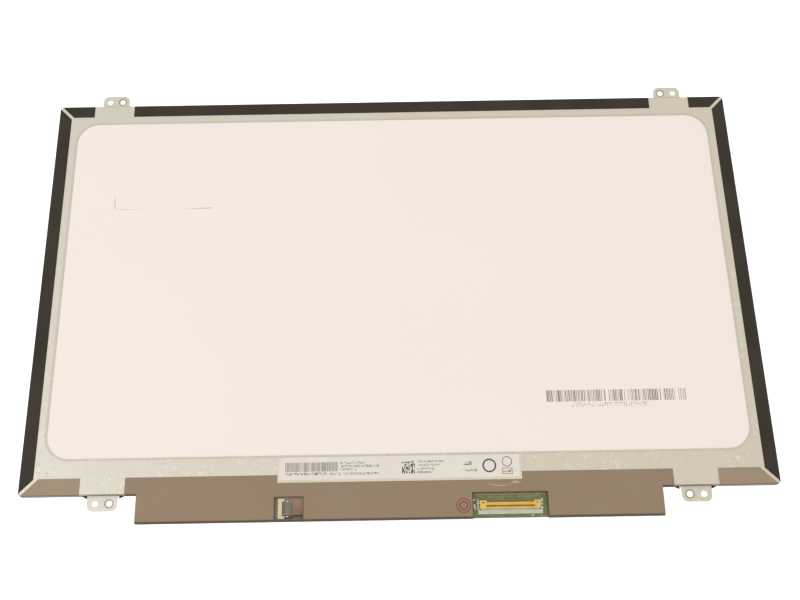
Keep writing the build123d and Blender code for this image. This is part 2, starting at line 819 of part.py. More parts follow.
# Row of solder tails
with BuildPart() as backlight_socket_contacts:
    with GridLocations(0, contact_pitch, 1, flex_contact_count):
        add(flex_contact.part)
save(backlight_socket_contacts, "backlight_socket_contacts")

# Solder tabs beyond the tips of the arms, each with a raised tip beside the lever
with BuildPart() as backlight_socket_tabs:
    tab_y = flex_socket_y + flex_socket_length / 2 - flex_socket_arm + tab_hold - tab_width / 2
    tab_end = arm_end + tab_reach
    with BuildSketch(Plane.XZ.offset(-tab_y)):
        bounds(arm_end, tab_end, z_board_top, z_board_top + tab_thickness)
        bounds(tab_end - tab_tip, tab_end, z_board_top, z_board_top + tab_height)
    extrude(amount=tab_width / 2, both=True)
    mirror(about=Plane.XZ.offset(-flex_socket_y))
save(backlight_socket_tabs, "backlight_socket_tabs")

# Diode flex along the light guide, with its tail down to the flex socket
with BuildPart() as led_flex:
    with BuildSketch(Plane.XY.offset(z_guide - flex_thickness)):
        bounds(-sheet_right, sheet_right, led_flex_bottom, led_flex_top)
    extrude(amount=flex_thickness)
    tail_foot = flex_socket_y - tail_width / 2
    with BuildSketch(Plane.YZ.offset(tail_left)):
        with BuildLine():
            Polyline(
                (led_flex_bottom, z_guide),
                (led_flex_bottom - sheet_clearance, z_guide),
                (board_top + flex_gap, z_tail + flex_thickness),
                (tail_foot, z_tail + flex_thickness),
            )
            offset(amount=flex_thickness, side=Side.LEFT)
        make_face()
    extrude(amount=tail_leg)
    # Strip that turns into the socket
    with BuildSketch(Plane.XY.offset(z_tail)):
        bounds(block_front + lever_gap, tail_left + tail_leg / 2, tail_foot, tail_foot + tail_width)
    extrude(amount=flex_thickness)
save(led_flex, "led_flex")

# Row of side-firing diodes
with BuildPart() as backlight_leds:
    with BuildSketch(Plane.XY.offset(z_guide)):
        with Locations((0, led_top - led_depth / 2)):
            with GridLocations(led_pitch, 0, led_count, 1):
                Rectangle(led_length, led_depth)
    extrude(amount=led_height)
save(backlight_leds, "backlight_leds")

# Driver flex in the middle, from the bonded ledge to the board's display side
with BuildPart() as driver_flex_middle:
    with BuildSketch(Plane.YZ):
        with BuildLine():
            FilletPolyline(
                (filter_bottom - driver_flex_gap, z_array),
                (steel_bottom, z_array),
                (board_top, z_board),
                (board_top - driver_bond, z_board),
                radius=driver_bend_radius,
            )
            offset(amount=driver_flex_thickness, side=Side.LEFT)
        make_face()
    extrude(amount=driver_flex_width / 2, both=True)
save(driver_flex_middle, "driver_flex_middle")

# Driver flexes to its left and right
with BuildPart() as driver_flex_left:
    with Locations((-driver_flex_pitch, 0)):
        add(driver_flex_middle.part)
save(driver_flex_left, "driver_flex_left")

with BuildPart() as driver_flex_right:
    with Locations((driver_flex_pitch, 0)):
        add(driver_flex_middle.part)
save(driver_flex_right, "driver_flex_right")

# One driver chip on each flex, just past the glass edge
with BuildPart() as driver_chips:
    with BuildSketch(Plane.XY.offset(z_array)):
        with Locations((0, array_bottom - driver_chip_gap - driver_chip_width / 2)):
            with GridLocations(driver_flex_pitch, 0, driver_flex_count, 1):
                Rectangle(driver_chip_length, driver_chip_width)
    extrude(amount=driver_chip_height)
save(driver_chips, "driver_chips")

# Timing controller
with BuildPart() as timing_chip:
    with BuildSketch(Plane.XY.offset(z_board_top)):
        with Locations((socket_x + timing_chip_offset, board_middle)):
            Rectangle(timing_chip_size, timing_chip_size)
    extrude(amount=timing_chip_height)
    chamfer(timing_chip.faces().sort_by(Axis.Z)[-1].edges(), chip_chamfer)
save(timing_chip, "timing_chip")

# Backlight driver
with BuildPart() as backlight_driver_chip:
    with BuildSketch(Plane.XY.offset(z_board_top)):
        with Locations((lever_x - backlight_chip_offset, board_middle)):
            Rectangle(backlight_chip_size, backlight_chip_size)
    extrude(amount=backlight_chip_height)
    chamfer(backlight_driver_chip.faces().sort_by(Axis.Z)[-1].edges(), chip_chamfer)
save(backlight_driver_chip, "backlight_driver_chip")

# Boost coil beside it
with BuildPart() as power_coil:
    with BuildSketch(Plane.XY.offset(z_board_top)):
        with Locations((lever_x - coil_offset, board_middle)):
            RectangleRounded(coil_size, coil_size, coil_corner)
    extrude(amount=coil_height)
    chamfer(power_coil.faces().sort_by(Axis.Z)[-1].edges(), chip_chamfer)
save(power_coil, "power_coil")

# Rows of capacitors between the sockets and beyond the coil
with BuildPart() as board_capacitors:
    with BuildSketch(Plane.XY.offset(z_board_top)):
        with Locations((0, board_middle), (lever_x - 2 * coil_offset, board_middle)):
            with GridLocations(capacitor_pitch, capacitor_row_gap, capacitor_columns, 2):
                Rectangle(capacitor_length, capacitor_width)
    extrude(amount=capacitor_height)
save(board_capacitors, "board_capacitors")
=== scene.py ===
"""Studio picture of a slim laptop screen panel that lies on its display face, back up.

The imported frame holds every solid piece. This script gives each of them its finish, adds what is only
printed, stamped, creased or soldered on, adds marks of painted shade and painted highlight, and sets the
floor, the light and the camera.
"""

import logging
import math
from collections.abc import Callable, Iterable
from dataclasses import dataclass, replace
from enum import Enum
from functools import cache
from typing import Any

import bmesh
import bpy
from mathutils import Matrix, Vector

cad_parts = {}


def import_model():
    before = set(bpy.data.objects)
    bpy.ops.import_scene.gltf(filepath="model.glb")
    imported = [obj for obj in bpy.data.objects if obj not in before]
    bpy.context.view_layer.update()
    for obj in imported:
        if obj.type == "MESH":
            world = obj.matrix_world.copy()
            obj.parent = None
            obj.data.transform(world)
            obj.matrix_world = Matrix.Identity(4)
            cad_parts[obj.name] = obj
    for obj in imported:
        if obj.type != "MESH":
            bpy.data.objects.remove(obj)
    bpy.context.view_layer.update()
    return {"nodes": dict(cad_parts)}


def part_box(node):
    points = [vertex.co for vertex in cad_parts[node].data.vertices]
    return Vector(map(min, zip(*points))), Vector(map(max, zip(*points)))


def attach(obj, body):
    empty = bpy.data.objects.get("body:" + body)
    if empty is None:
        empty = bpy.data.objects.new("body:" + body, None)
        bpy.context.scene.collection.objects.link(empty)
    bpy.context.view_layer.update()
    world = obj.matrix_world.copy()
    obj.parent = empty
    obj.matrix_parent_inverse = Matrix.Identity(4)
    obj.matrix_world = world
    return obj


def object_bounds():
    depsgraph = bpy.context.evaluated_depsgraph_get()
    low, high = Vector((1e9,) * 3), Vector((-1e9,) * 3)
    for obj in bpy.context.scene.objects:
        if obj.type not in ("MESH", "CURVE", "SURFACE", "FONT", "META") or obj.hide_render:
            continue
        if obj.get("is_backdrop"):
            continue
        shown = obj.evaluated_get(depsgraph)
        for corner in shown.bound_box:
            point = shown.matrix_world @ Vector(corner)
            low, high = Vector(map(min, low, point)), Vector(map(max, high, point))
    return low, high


LOG = logging.getLogger("screen_panel")
# The body that every added piece moves with
PANEL = "panel"
MM = 0.001
# Points of a shape nearer than this are one, in metres
MERGE_M = 1e-8

Point = tuple[float, float]
Place = tuple[float, float, float]
Edges = tuple[float, float, float, float]
Colour = tuple[float, float, float, float]
Surface = Callable[[float, float], float]
Tree = bpy.types.NodeTree
Node = bpy.types.Node
Socket = bpy.types.NodeSocket
Mesh = bpy.types.Mesh


class MarkShape(Enum):
    """The small solids of unit size that marks can be, each with its node and that node's values."""

    BLOCK = ("GeometryNodeMeshCube", {"Size": (1.0, 1.0, 1.0), "Vertices Y": 4})
    DISC = ("GeometryNodeMeshCylinder", {"Vertices": 16, "Radius": 0.5, "Depth": 1.0})
    DOME = ("GeometryNodeMeshIcoSphere", {"Radius": 0.5, "Subdivisions": 2})


class Way(Enum):
    """What a change of tone follows: the place along X or Y, or the Z of a face's normal."""

    X = "X"
    Y = "Y"
    LEAN = "Z"


def linear(hex_colour: str) -> Colour:
    """Turn an sRGB colour into a linear one.

    Args:
        hex_colour: A hash sign and six hex digits.

    Returns:
        Linear red, green and blue, and an alpha of one.
    """
    channels = [int(hex_colour[start:start + 2], 16) / 255 for start in (1, 3, 5)]
    straight = [c / 12.92 if c <= 0.04045 else ((c + 0.055) / 1.055) ** 2.4 for c in channels]
    return (*straight, 1.0)


def per_size(size_mm: float) -> float:
    """Return the texture scale that makes one feature of a pattern this many millimetres wide."""
    return 1.0 / (size_mm * MM)


def add_node(tree: Tree, kind: str, inputs: dict[Any, Any] | None = None, **settings: Any) -> Node:
    """Add one node, with its settings, its values and its links.

    Args:
        tree: The material or geometry tree that takes the node.
        kind: The node's type name.
        inputs: Values, or sockets to link from, by the input's name or index.
        settings: Attributes of the node itself.

    Returns:
        The new node.
    """
    node = tree.nodes.new(kind)
    for name, value in settings.items():
        setattr(node, name, value)
    for key, value in (inputs or {}).items():
        if isinstance(value, Socket):
            tree.links.new(value, node.inputs[key])
        else:
            node.inputs[key].default_value = value
    return node


def add_object(name: str, data: bpy.types.ID) -> bpy.types.Object:
    """Add one object to the scene.

    Args:
        name: The object's name.
        data: Its mesh, lamp or camera.

    Returns:
        The new object.
    """
    made = bpy.data.objects.new(name, data)
    bpy.context.scene.collection.objects.link(made)
    return made


@dataclass(frozen=True)
class Coat:
    """A material in the making.

    Attributes:
        tree: Its node tree.
        shader: Its surface shader.
        place: Object coordinates, in metres.
    """

    tree: Tree
    shader: Node
    place: Socket

    def spots(self, size_mm: float, band: Point = (0.0, 1.0)) -> Socket:
        """Add soft spots of one size.

        Args:
            size_mm: Size of the spots.
            band: Values of the noise that become zero and one.

        Returns:
            The spots, from zero to one.
        """
        cloud = {"Vector": self.place, "Scale": per_size(size_mm), "Detail": 3.0, "Roughness": 0.55}
        noise = add_node(self.tree, "ShaderNodeTexNoise", cloud).outputs[0]
        stretch = {"Value": noise, "From Min": band[0], "From Max": band[1]}
        return add_node(self.tree, "ShaderNodeMapRange", stretch).outputs["Result"]

    def both(self, first: Socket, second: Socket, band: Point = (0.0, 1.0)) -> Socket:
        """Find where two patterns meet.

        Args:
            first: One pattern, from zero to one.
            second: The other.
            band: Values of their product that become zero and one.

        Returns:
            Where they meet, from zero to one.
        """
        factors = {0: first, 1: second}
        product = add_node(self.tree, "ShaderNodeMath", factors, operation="MULTIPLY").outputs[0]
        stretch = {"Value": product, "From Min": band[0], "From Max": band[1]}
        return add_node(self.tree, "ShaderNodeMapRange", stretch).outputs["Result"]

    def tint(self, amount: Socket, tone: str) -> None:
        """Lay a tone over the shader's colour so far.

        Args:
            amount: How much of the tone shows, from zero to one.
            tone: The tone, as sRGB hex.
        """
        base = self.shader.inputs["Base Color"]
        under = base.links[0].from_socket if base.links else base.default_value
        layers = {0: amount, 6: under, 7: linear(tone)}
        mixed = add_node(self.tree, "ShaderNodeMix", layers, data_type="RGBA").outputs[2]
        self.tree.links.new(mixed, base)


@dataclass(frozen=True)
class Change:
    """A change of tone.

    Attributes:
        way: What it follows.
        start: Where it starts, in millimetres, or in degrees from level where it follows the lean.
        end: Where it is complete.
    """

    way: Way
    start: float
    end: float

    def amount(self, coat: Coat) -> Socket:
        """Measure the change.

        Args:
            coat: The material in the making.

        Returns:
            Zero before the start, one past the end.
        """
        leans = self.way is Way.LEAN
        followed = add_node(coat.tree, "ShaderNodeNewGeometry").outputs["Normal"] if leans else coat.place
        value = add_node(coat.tree, "ShaderNodeSeparateXYZ", {0: followed}).outputs[self.way.value]
        low, high = (math.cos(math.radians(at)) if leans else at * MM for at in (self.start, self.end))
        stretch = {"Value": value, "From Min": low, "From Max": high}
        return add_node(coat.tree, "ShaderNodeMapRange", stretch).outputs["Result"]


@dataclass(frozen=True)
class Finish:
    """A surface finish with soft patches and a fine grain, built once and shared by all that have it.

    Attributes:
        name: The material's common name.
        colour: Main colour, as sRGB hex.
        shade: Colour that the pattern mixes in, as sRGB hex.
        roughness: Lowest roughness of the surface.
        spread: How much rougher the pattern makes it in places.
        metallic: One for bare metal, zero for the rest.
        specular: Strength of the mirror-like share of the reflection.
        patch_mm: Size of the broad patches of shade.
        grain_mm: Size of the fine grain.
        grain_depth_mm: Depth of the fine grain.
        overlays: Changes laid over the pattern, each with its tone as sRGB hex.
        extra: Further inputs of the shader, by name.
    """

    name: str
    colour: str
    shade: str
    roughness: float
    spread: float = 0.08
    metallic: float = 0.0
    specular: float = 0.5
    patch_mm: float = 8.0
    grain_mm: float = 0.5
    grain_depth_mm: float = 0.004
    overlays: tuple[tuple[Change, str], ...] = ()
    extra: tuple[tuple[str, Any], ...] = ()

    # Stretch of the noise over which a patch passes into the main colour
    PATCH_BAND = (0.32, 0.68)

    def material(self) -> bpy.types.Material:
        """Build the material when it is first asked for.

        Returns:
            The one material of this name.
        """
        ready = bpy.data.materials.get(self.name)
        if ready is None:
            ready = bpy.data.materials.new(self.name)
            ready.use_nodes = True
            tree = ready.node_tree
            shader = tree.nodes["Principled BSDF"]
            main = (("Base Color", linear(self.colour)), ("Metallic", self.metallic))
            for name, value in (*main, ("Specular IOR Level", self.specular), *self.extra):
                shader.inputs[name].default_value = value
            coat = Coat(tree, shader, add_node(tree, "ShaderNodeTexCoord").outputs["Object"])
            self.paint(coat)
            for change, tone in self.overlays:
                coat.tint(change.amount(coat), tone)
        return ready

    def paint(self, coat: Coat) -> None:
        """Link soft patches of shade and a fine grain to the shader."""
        coat.tint(coat.spots(self.patch_mm, self.PATCH_BAND), self.shade)
        self.grain(coat, coat.spots(self.grain_mm))

    def grain(self, coat: Coat, height: Socket) -> None:
        """Link the shader's roughness and normal to a fine pattern.

        Args:
            coat: The material in the making.
            height: The pattern, from zero to one.
        """
        span = {"Value": height, "To Min": self.roughness, "To Max": self.roughness + self.spread}
        rough = add_node(coat.tree, "ShaderNodeMapRange", span).outputs["Result"]
        relief = {"Height": height, "Strength": 1.0, "Distance": self.grain_depth_mm * MM}
        normal = add_node(coat.tree, "ShaderNodeBump", relief).outputs["Normal"]
        coat.tree.links.new(rough, coat.shader.inputs["Roughness"])
        coat.tree.links.new(normal, coat.shader.inputs["Normal"])


@dataclass(frozen=True)
class Spangled(Finish):
    """Zinc-coated sheet: a slow drift of tone from left to right, painted light mixed with soft clouds of
    the sheet's own tone, and clusters of bright and dull flecks.

    Attributes:
        fleck: Colour of the bright flecks, as sRGB hex.
        dull: Colour of the dull flecks, as sRGB hex.
        fleck_mm: Distance from fleck to fleck.
        cluster_mm: Size of the clusters that they stand in.
        drift: Where the tone drifts, as painted light that is paler and cooler on the left and warmer on the
            right.
        fade: Where the flecks come up to their full strength.
    """

    fleck: str = "#ffffff"
    dull: str = "#808080"
    fleck_mm: float = 1.3
    cluster_mm: float = 9.0
    drift: Change = Change(Way.X, -130.0, 130.0)
    fade: Change = Change(Way.Y, 85.0, -20.0)

    # Stretches of the noise for clouds, clusters, bright flecks and dull ones
    CLOUD_BAND = (0.35, 0.65)
    CLUSTER_BAND = (0.38, 0.55)
    FLECK_BAND = (0.59, 0.65)
    DULL_BAND = (0.40, 0.34)
    # Share of the clouds in the drift
    CLOUD_SHARE = 0.35

    def paint(self, coat: Coat) -> None:
        """Link the drift, the flecks and the grain to the shader.

        Args:
            coat: The material in the making.
        """
        cloud = coat.spots(self.patch_mm, self.CLOUD_BAND)
        # Painted light: the shade comes in from left to right as the studio light warms, mixed with soft
        # clouds of tone
        shares = {0: self.CLOUD_SHARE, 2: self.drift.amount(coat), 3: cloud}
        coat.tint(add_node(coat.tree, "ShaderNodeMix", shares).outputs[0], self.shade)
        cluster = coat.both(coat.spots(self.cluster_mm, self.CLUSTER_BAND), self.fade.amount(coat))
        for band, tone in ((self.FLECK_BAND, self.fleck), (self.DULL_BAND, self.dull)):
            coat.tint(coat.both(coat.spots(self.fleck_mm, band), cluster), tone)
        self.grain(coat, coat.spots(self.grain_mm))


@dataclass(frozen=True)
class Streaked(Finish):
    """Rolled or plated sheet: fine streaks drawn out along one axis.

    Attributes:
        stretch: How many times longer than wide a streak is.
    """

    stretch: float = 14.0

    # Stretch of the streaks and patches, multiplied, over which the shade comes in
    STREAK_BAND = (0.12, 0.42)

    def paint(self, coat: Coat) -> None:
        """Link the drawn-out streaks to the shader.

        Args:
            coat: The material in the making.
        """
        drawn = {"Vector": coat.place, "Scale": (1.0 / self.stretch, 1.0, 1.0)}
        along = add_node(coat.tree, "ShaderNodeMapping", drawn).outputs["Vector"]
        streaks = replace(coat, place=along).spots(self.grain_mm)
        coat.tint(coat.both(streaks, coat.spots(self.patch_mm), self.STREAK_BAND), self.shade)
        self.grain(coat, streaks)


@dataclass(frozen=True)
class Tracked(Finish):
    """Laminate with copper tracks that show as raised lines through its mask or cover layer.

    Attributes:
        track_mm: Distance from one track to the next.
        turn_deg: Direction of the tracks, from +X.
    """

    track_mm: float = 0.8
    turn_deg: float = 0.0

    # Distance from band to band of a wave texture at a scale of one
    WAVE_STEP = math.tau / 20
    # Stretches of the noise for bundles of tracks, and of the waves for one track
    BUNDLE_BAND = (0.4, 0.6)
    TRACK_BAND = (0.25, 0.55)

    def paint(self, coat: Coat) -> None:
        """Link bundles of tracks to the shader.

        Args:
            coat: The material in the making.
        """
        turn = {"Vector": coat.place, "Rotation": (0.0, 0.0, math.radians(-self.turn_deg))}
        laid = add_node(coat.tree, "ShaderNodeMapping", turn).outputs["Vector"]
        waves = {"Vector": laid, "Scale": per_size(self.track_mm) * self.WAVE_STEP, "Distortion": 0.0}
        lines = add_node(coat.tree, "ShaderNodeTexWave", waves, bands_direction="Y").outputs[1]
        raised = coat.both(lines, coat.spots(self.patch_mm, self.BUNDLE_BAND), self.TRACK_BAND)
        coat.tint(raised, self.shade)
        self.grain(coat, raised)


# Painted shade on the cover film where it turns down over an edge: the lean from where it starts to where
# the painted shade is darkest
FILM_FOLD_SHADE = Change(Way.LEAN, 6.0, 38.0)
# Shader input that lets light through
CLEAR = ("Transmission Weight", 1.0)
# Edges of the picture area, and how far inside each the black mask round it starts to show
PICTURE_EDGES = ((Way.X, -154.7, 0.15), (Way.X, 154.7, -0.15), (Way.Y, -82.6, 0.15), (Way.Y, 91.4, -0.15))

# Hot-dip galvanised steel: matt zinc that drifts from warm to greenish, partly as painted light, with
# clusters of bright flecks, and painted shade on faces that lean, at the pressed rims and bends
GALVANISED_STEEL = Spangled(
    "hot_dip_galvanised_steel", "#dbd5c9", "#d9cfba", 0.4, spread=0.14, metallic=1.0,
    patch_mm=30.0, grain_mm=0.7, fleck="#e8e2d8", dull="#cfc8ba",
    # Painted shade: darker where the sheet leans 5.7 to 12 degrees from level, at the pressed rims and bends
    overlays=((Change(Way.LEAN, 5.7, 12.0), "#989081"),),
)
# White foamed polyester reflector: soft, almost even, warm in the studio light
REFLECTOR_FILM = Finish(
    "foamed_white_polyester", "#f1e7de", "#f0e6dc", 0.55, specular=0.2, patch_mm=70.0, grain_mm=0.9,
)
# Black polyester light-shield tape: satin, with a faint grain
SHIELD_TAPE = Finish(
    "black_polyester_tape", "#3d362e", "#352e27", 0.45, spread=0.15, specular=0.15,
    patch_mm=18.0, grain_mm=0.6,
)
# Taupe polyester cover film: satin, with slow changes of tone over the board, and painted shade where it
# turns down
COVER_FILM = Finish(
    "taupe_polyester_film", "#937f67", "#907a62", 0.42, spread=0.12, specular=0.3,
    patch_mm=22.0, grain_mm=0.8, overlays=((FILM_FOLD_SHADE, "#483c2e"),),
)
# The same film where it lies flat on bright steel: a little paler, with lighter painted shade where it turns
# down
CORNER_FILM = replace(
    COVER_FILM, name="taupe_polyester_film_on_steel", colour="#9e8b73", shade="#978470",
    overlays=((FILM_FOLD_SHADE, "#6c5c4a"),),
)
# Painted shadow along the film's cut edges: dark lines on the film beside each opening
CUT_EDGE_SHADOW = Finish("film_edge_shadow", "#5f5140", "#6d5e4b", 0.55, specular=0.2, patch_mm=2.5, grain_mm=0.4)
# Coated label paper: flat white, with a short fibre grain that is drawn coarse enough to show
LABEL_PAPER = Finish(
    "coated_label_paper", "#e4dcd1", "#e0d7cc", 0.6, specular=0.25, patch_mm=12.0, grain_mm=0.45,
)
# Margin of the label: a little darker and yellower than the paper
LABEL_MARGIN = Finish("darker_margin_paper", "#d9cebd", "#d3c7b4", 0.5, specular=0.3, patch_mm=6.0)
# Thermal transfer ink: dark grey, thin enough to lighten in patches
LABEL_INK = Finish(
    "thermal_transfer_ink", "#4a443f", "#6a625b", 0.5, specular=0.3, patch_mm=1.2, grain_mm=0.3,
)
# Ink-jet print on the reflector: pale brown-grey dots that blur together
JET_INK = Finish("ink_jet_print", "#7d7368", "#a2988b", 0.6, specular=0.2, patch_mm=0.9, grain_mm=0.3)
# The same ink where the print head ran low: paler
FADED_INK = replace(JET_INK, name="faded_ink_jet_print", colour="#a0968a", shade="#b8aea2")
# Crease in the reflector: the same film, a little darker where it turns from the light
CREASE_FILM = Finish("creased_white_polyester", "#c9beb3", "#d8cec3", 0.55, specular=0.2, patch_mm=6.0)
# Rubber-stamp ink: thin reddish brown on the film
STAMP_INK = Finish("stamp_ink", "#683a2c", "#764637", 0.5, specular=0.3, patch_mm=1.0)
# Stamp pad tint inside the rings: the same ink, so thin that the film shows through
STAMP_TINT = Finish("stamp_ink_tint", "#9b7661", "#967862", 0.45, specular=0.3, patch_mm=1.5)
# Dried label glue: a pale glossy trail
GLUE_TRAIL = Finish("dried_acrylic_glue", "#c4b291", "#b09c80", 0.25, specular=0.5, patch_mm=1.5)
# Glass-epoxy board under green solder mask: glossy, with paler tracks, drawn wide enough to show
BOARD_MASK = Tracked(
    "green_solder_mask", "#67683b", "#7a7b4f", 0.28, spread=0.1, patch_mm=5.0, track_mm=0.7,
    grain_depth_mm=0.01,
)
# Solder mask over solid copper: paler than the bare laminate
MASKED_COPPER = Finish("masked_copper", "#7c8458", "#707a50", 0.28, patch_mm=2.0, grain_mm=0.3)
# Drilled and plugged holes: nearly black. The same finish is the painted shade in the cable socket's notches
PLUG_AND_NOTCH_SHADE = Finish("via_plug_and_notch_shade", "#23231a", "#2c2b20", 0.5, patch_mm=0.6)
# White epoxy legend ink: screen-printed, chalky
LEGEND_INK = Finish("white_legend_ink", "#cfcab8", "#c2bda9", 0.6, patch_mm=0.8)
# Reflowed solder: bright and smooth, dulled in spots
SOLDER = Finish("reflowed_solder", "#efede5", "#cbc8bc", 0.22, metallic=1.0, patch_mm=0.5, grain_mm=0.2)
# Gold-flashed phosphor bronze: warm, rolled along the socket
GOLD_PLATE = Streaked(
    "gold_flashed_bronze", "#eecb70", "#d0ab4a", 0.25, spread=0.12, metallic=1.0,
    patch_mm=3.0, grain_mm=0.25,
)
# Cable socket contacts: gold painted as a dull orange-brown, a painted shade of the gold as it looks deep in
# the socket
GOLD_CONTACT_SHADE = Streaked("gold_contact_painted_shade", "#bd741f", "#8f5717", 0.45, patch_mm=1.0, grain_mm=0.2)
# Solder tails under dried flux: dull brown-grey
FLUXED_TAIL = Finish("fluxed_tail", "#9c8c79", "#8a7a67", 0.5, patch_mm=0.6, grain_mm=0.2)
# Painted shadow below the flex socket: dark brown, with a dull gloss
SOCKET_SHADOW = Finish("painted_shadow_below_socket", "#4a4033", "#5a4e3f", 0.35, patch_mm=1.0, grain_mm=0.3)
# Tin-plated brass tabs: dulled by flux
TIN_PLATE = Streaked("tin_plated_brass", "#a39b8c", "#857c6d", 0.4, metallic=1.0, patch_mm=1.0, grain_mm=0.2)
# Ivory glass-filled nylon of the cable socket: moulded, matt
IVORY_NYLON = Finish("ivory_glass_filled_nylon", "#c6c5b4", "#bbbaa8", 0.5, patch_mm=2.0, grain_mm=0.25)
# Beige liquid-crystal polymer of the flex socket: moulded, matt
BEIGE_POLYMER = Finish("beige_moulded_polymer", "#d8cba0", "#cbbd92", 0.5, patch_mm=1.5, grain_mm=0.2)
# Dark grey polymer of the lever: moulded, a little smoother
GREY_POLYMER = Finish("grey_moulded_polymer", "#76746a", "#6c6b62", 0.42, patch_mm=1.5, grain_mm=0.2)
# Reddish brown cover layer of the diode flex: satin, browner towards its bend
BROWN_FLEX = Tracked(
    "brown_coverlay", "#84604c", "#8d6a55", 0.4, patch_mm=4.0, track_mm=0.5,
    overlays=((Change(Way.Y, -98.5, -95.0), "#8d7863"),),
)
# Painted shadow along the lower edge of that flex: dark red-brown
FLEX_SHADOW = Finish("coverlay_edge_shadow", "#42221a", "#4f2d22", 0.5, patch_mm=1.0)
# Amber polyimide of the driver flexes: glossy, with tracks drawn wide enough to show
AMBER_FLEX = Tracked("amber_polyimide", "#8f5b1c", "#a67331", 0.3, patch_mm=4.0, track_mm=0.3, turn_deg=90.0)
# White polycarbonate of the moulded frame: satin
WHITE_MOULDING = Finish("white_polycarbonate", "#e6e4de", "#dedbd4", 0.45, patch_mm=10.0)
# Cast acrylic of the light guide: polished and clear
GUIDE_ACRYLIC = Finish(
    "cast_acrylic", "#f2f6f6", "#ecf2f2", 0.08, spread=0.05, patch_mm=20.0, extra=(CLEAR, ("IOR", 1.49)),
)
# Prism and diffuser sheets: milky polyester
OPTICAL_FILM = Finish("milky_polyester", "#dfe3e6", "#d5dade", 0.35, patch_mm=20.0)
# Display glass: fire-polished, faintly green
DISPLAY_GLASS = Finish(
    "display_glass", "#eaf3ef", "#e2efe9", 0.03, spread=0.02, patch_mm=30.0, extra=(CLEAR, ("IOR", 1.52)),
)
# Front polariser with a fine anti-glare texture: nearly black when the display is off, and black round
# the picture area
FRONT_POLARISER = Finish(
    "anti_glare_polariser", "#1c1d20", "#202125", 0.4, spread=0.12, specular=0.3,
    patch_mm=40.0, grain_mm=0.4, grain_depth_mm=0.002,
    overlays=tuple((Change(way, edge + inward, edge), "#08080a") for way, edge, inward in PICTURE_EDGES),
)
# Rear polariser: smooth dark film
REAR_POLARISER = Finish("rear_polariser", "#3a3b3d", "#404144", 0.15, patch_mm=30.0)
# White diode packages: moulded round a yellow window
DIODE_PACKAGE = Finish("diode_package", "#ece6c4", "#e4dcae", 0.35, patch_mm=1.5)
# Black epoxy of the chip packages: moulded, matt
CHIP_EPOXY = Finish("black_epoxy", "#262524", "#2d2c2a", 0.5, patch_mm=2.0, grain_mm=0.2)
# Sintered ferrite of the coil: dark grey, a little rough
FERRITE = Finish("sintered_ferrite", "#3a3936", "#45433f", 0.45, patch_mm=1.0, grain_mm=0.2)
# Tan ceramic of the capacitors: fired, satin
CERAMIC = Finish("tan_ceramic", "#8f7558", "#9b8163", 0.4, patch_mm=0.8, grain_mm=0.2)
# Opal acrylic table lit from below: white, with almost no shadows
SWEEP = Finish(
    "opal_acrylic_table", "#ffffff", "#fcfcfc", 0.9, specular=0.0, patch_mm=400.0, grain_mm=4.0,
    extra=(("Emission Color", linear("#ffffff")), ("Emission Strength", 0.6)),
)


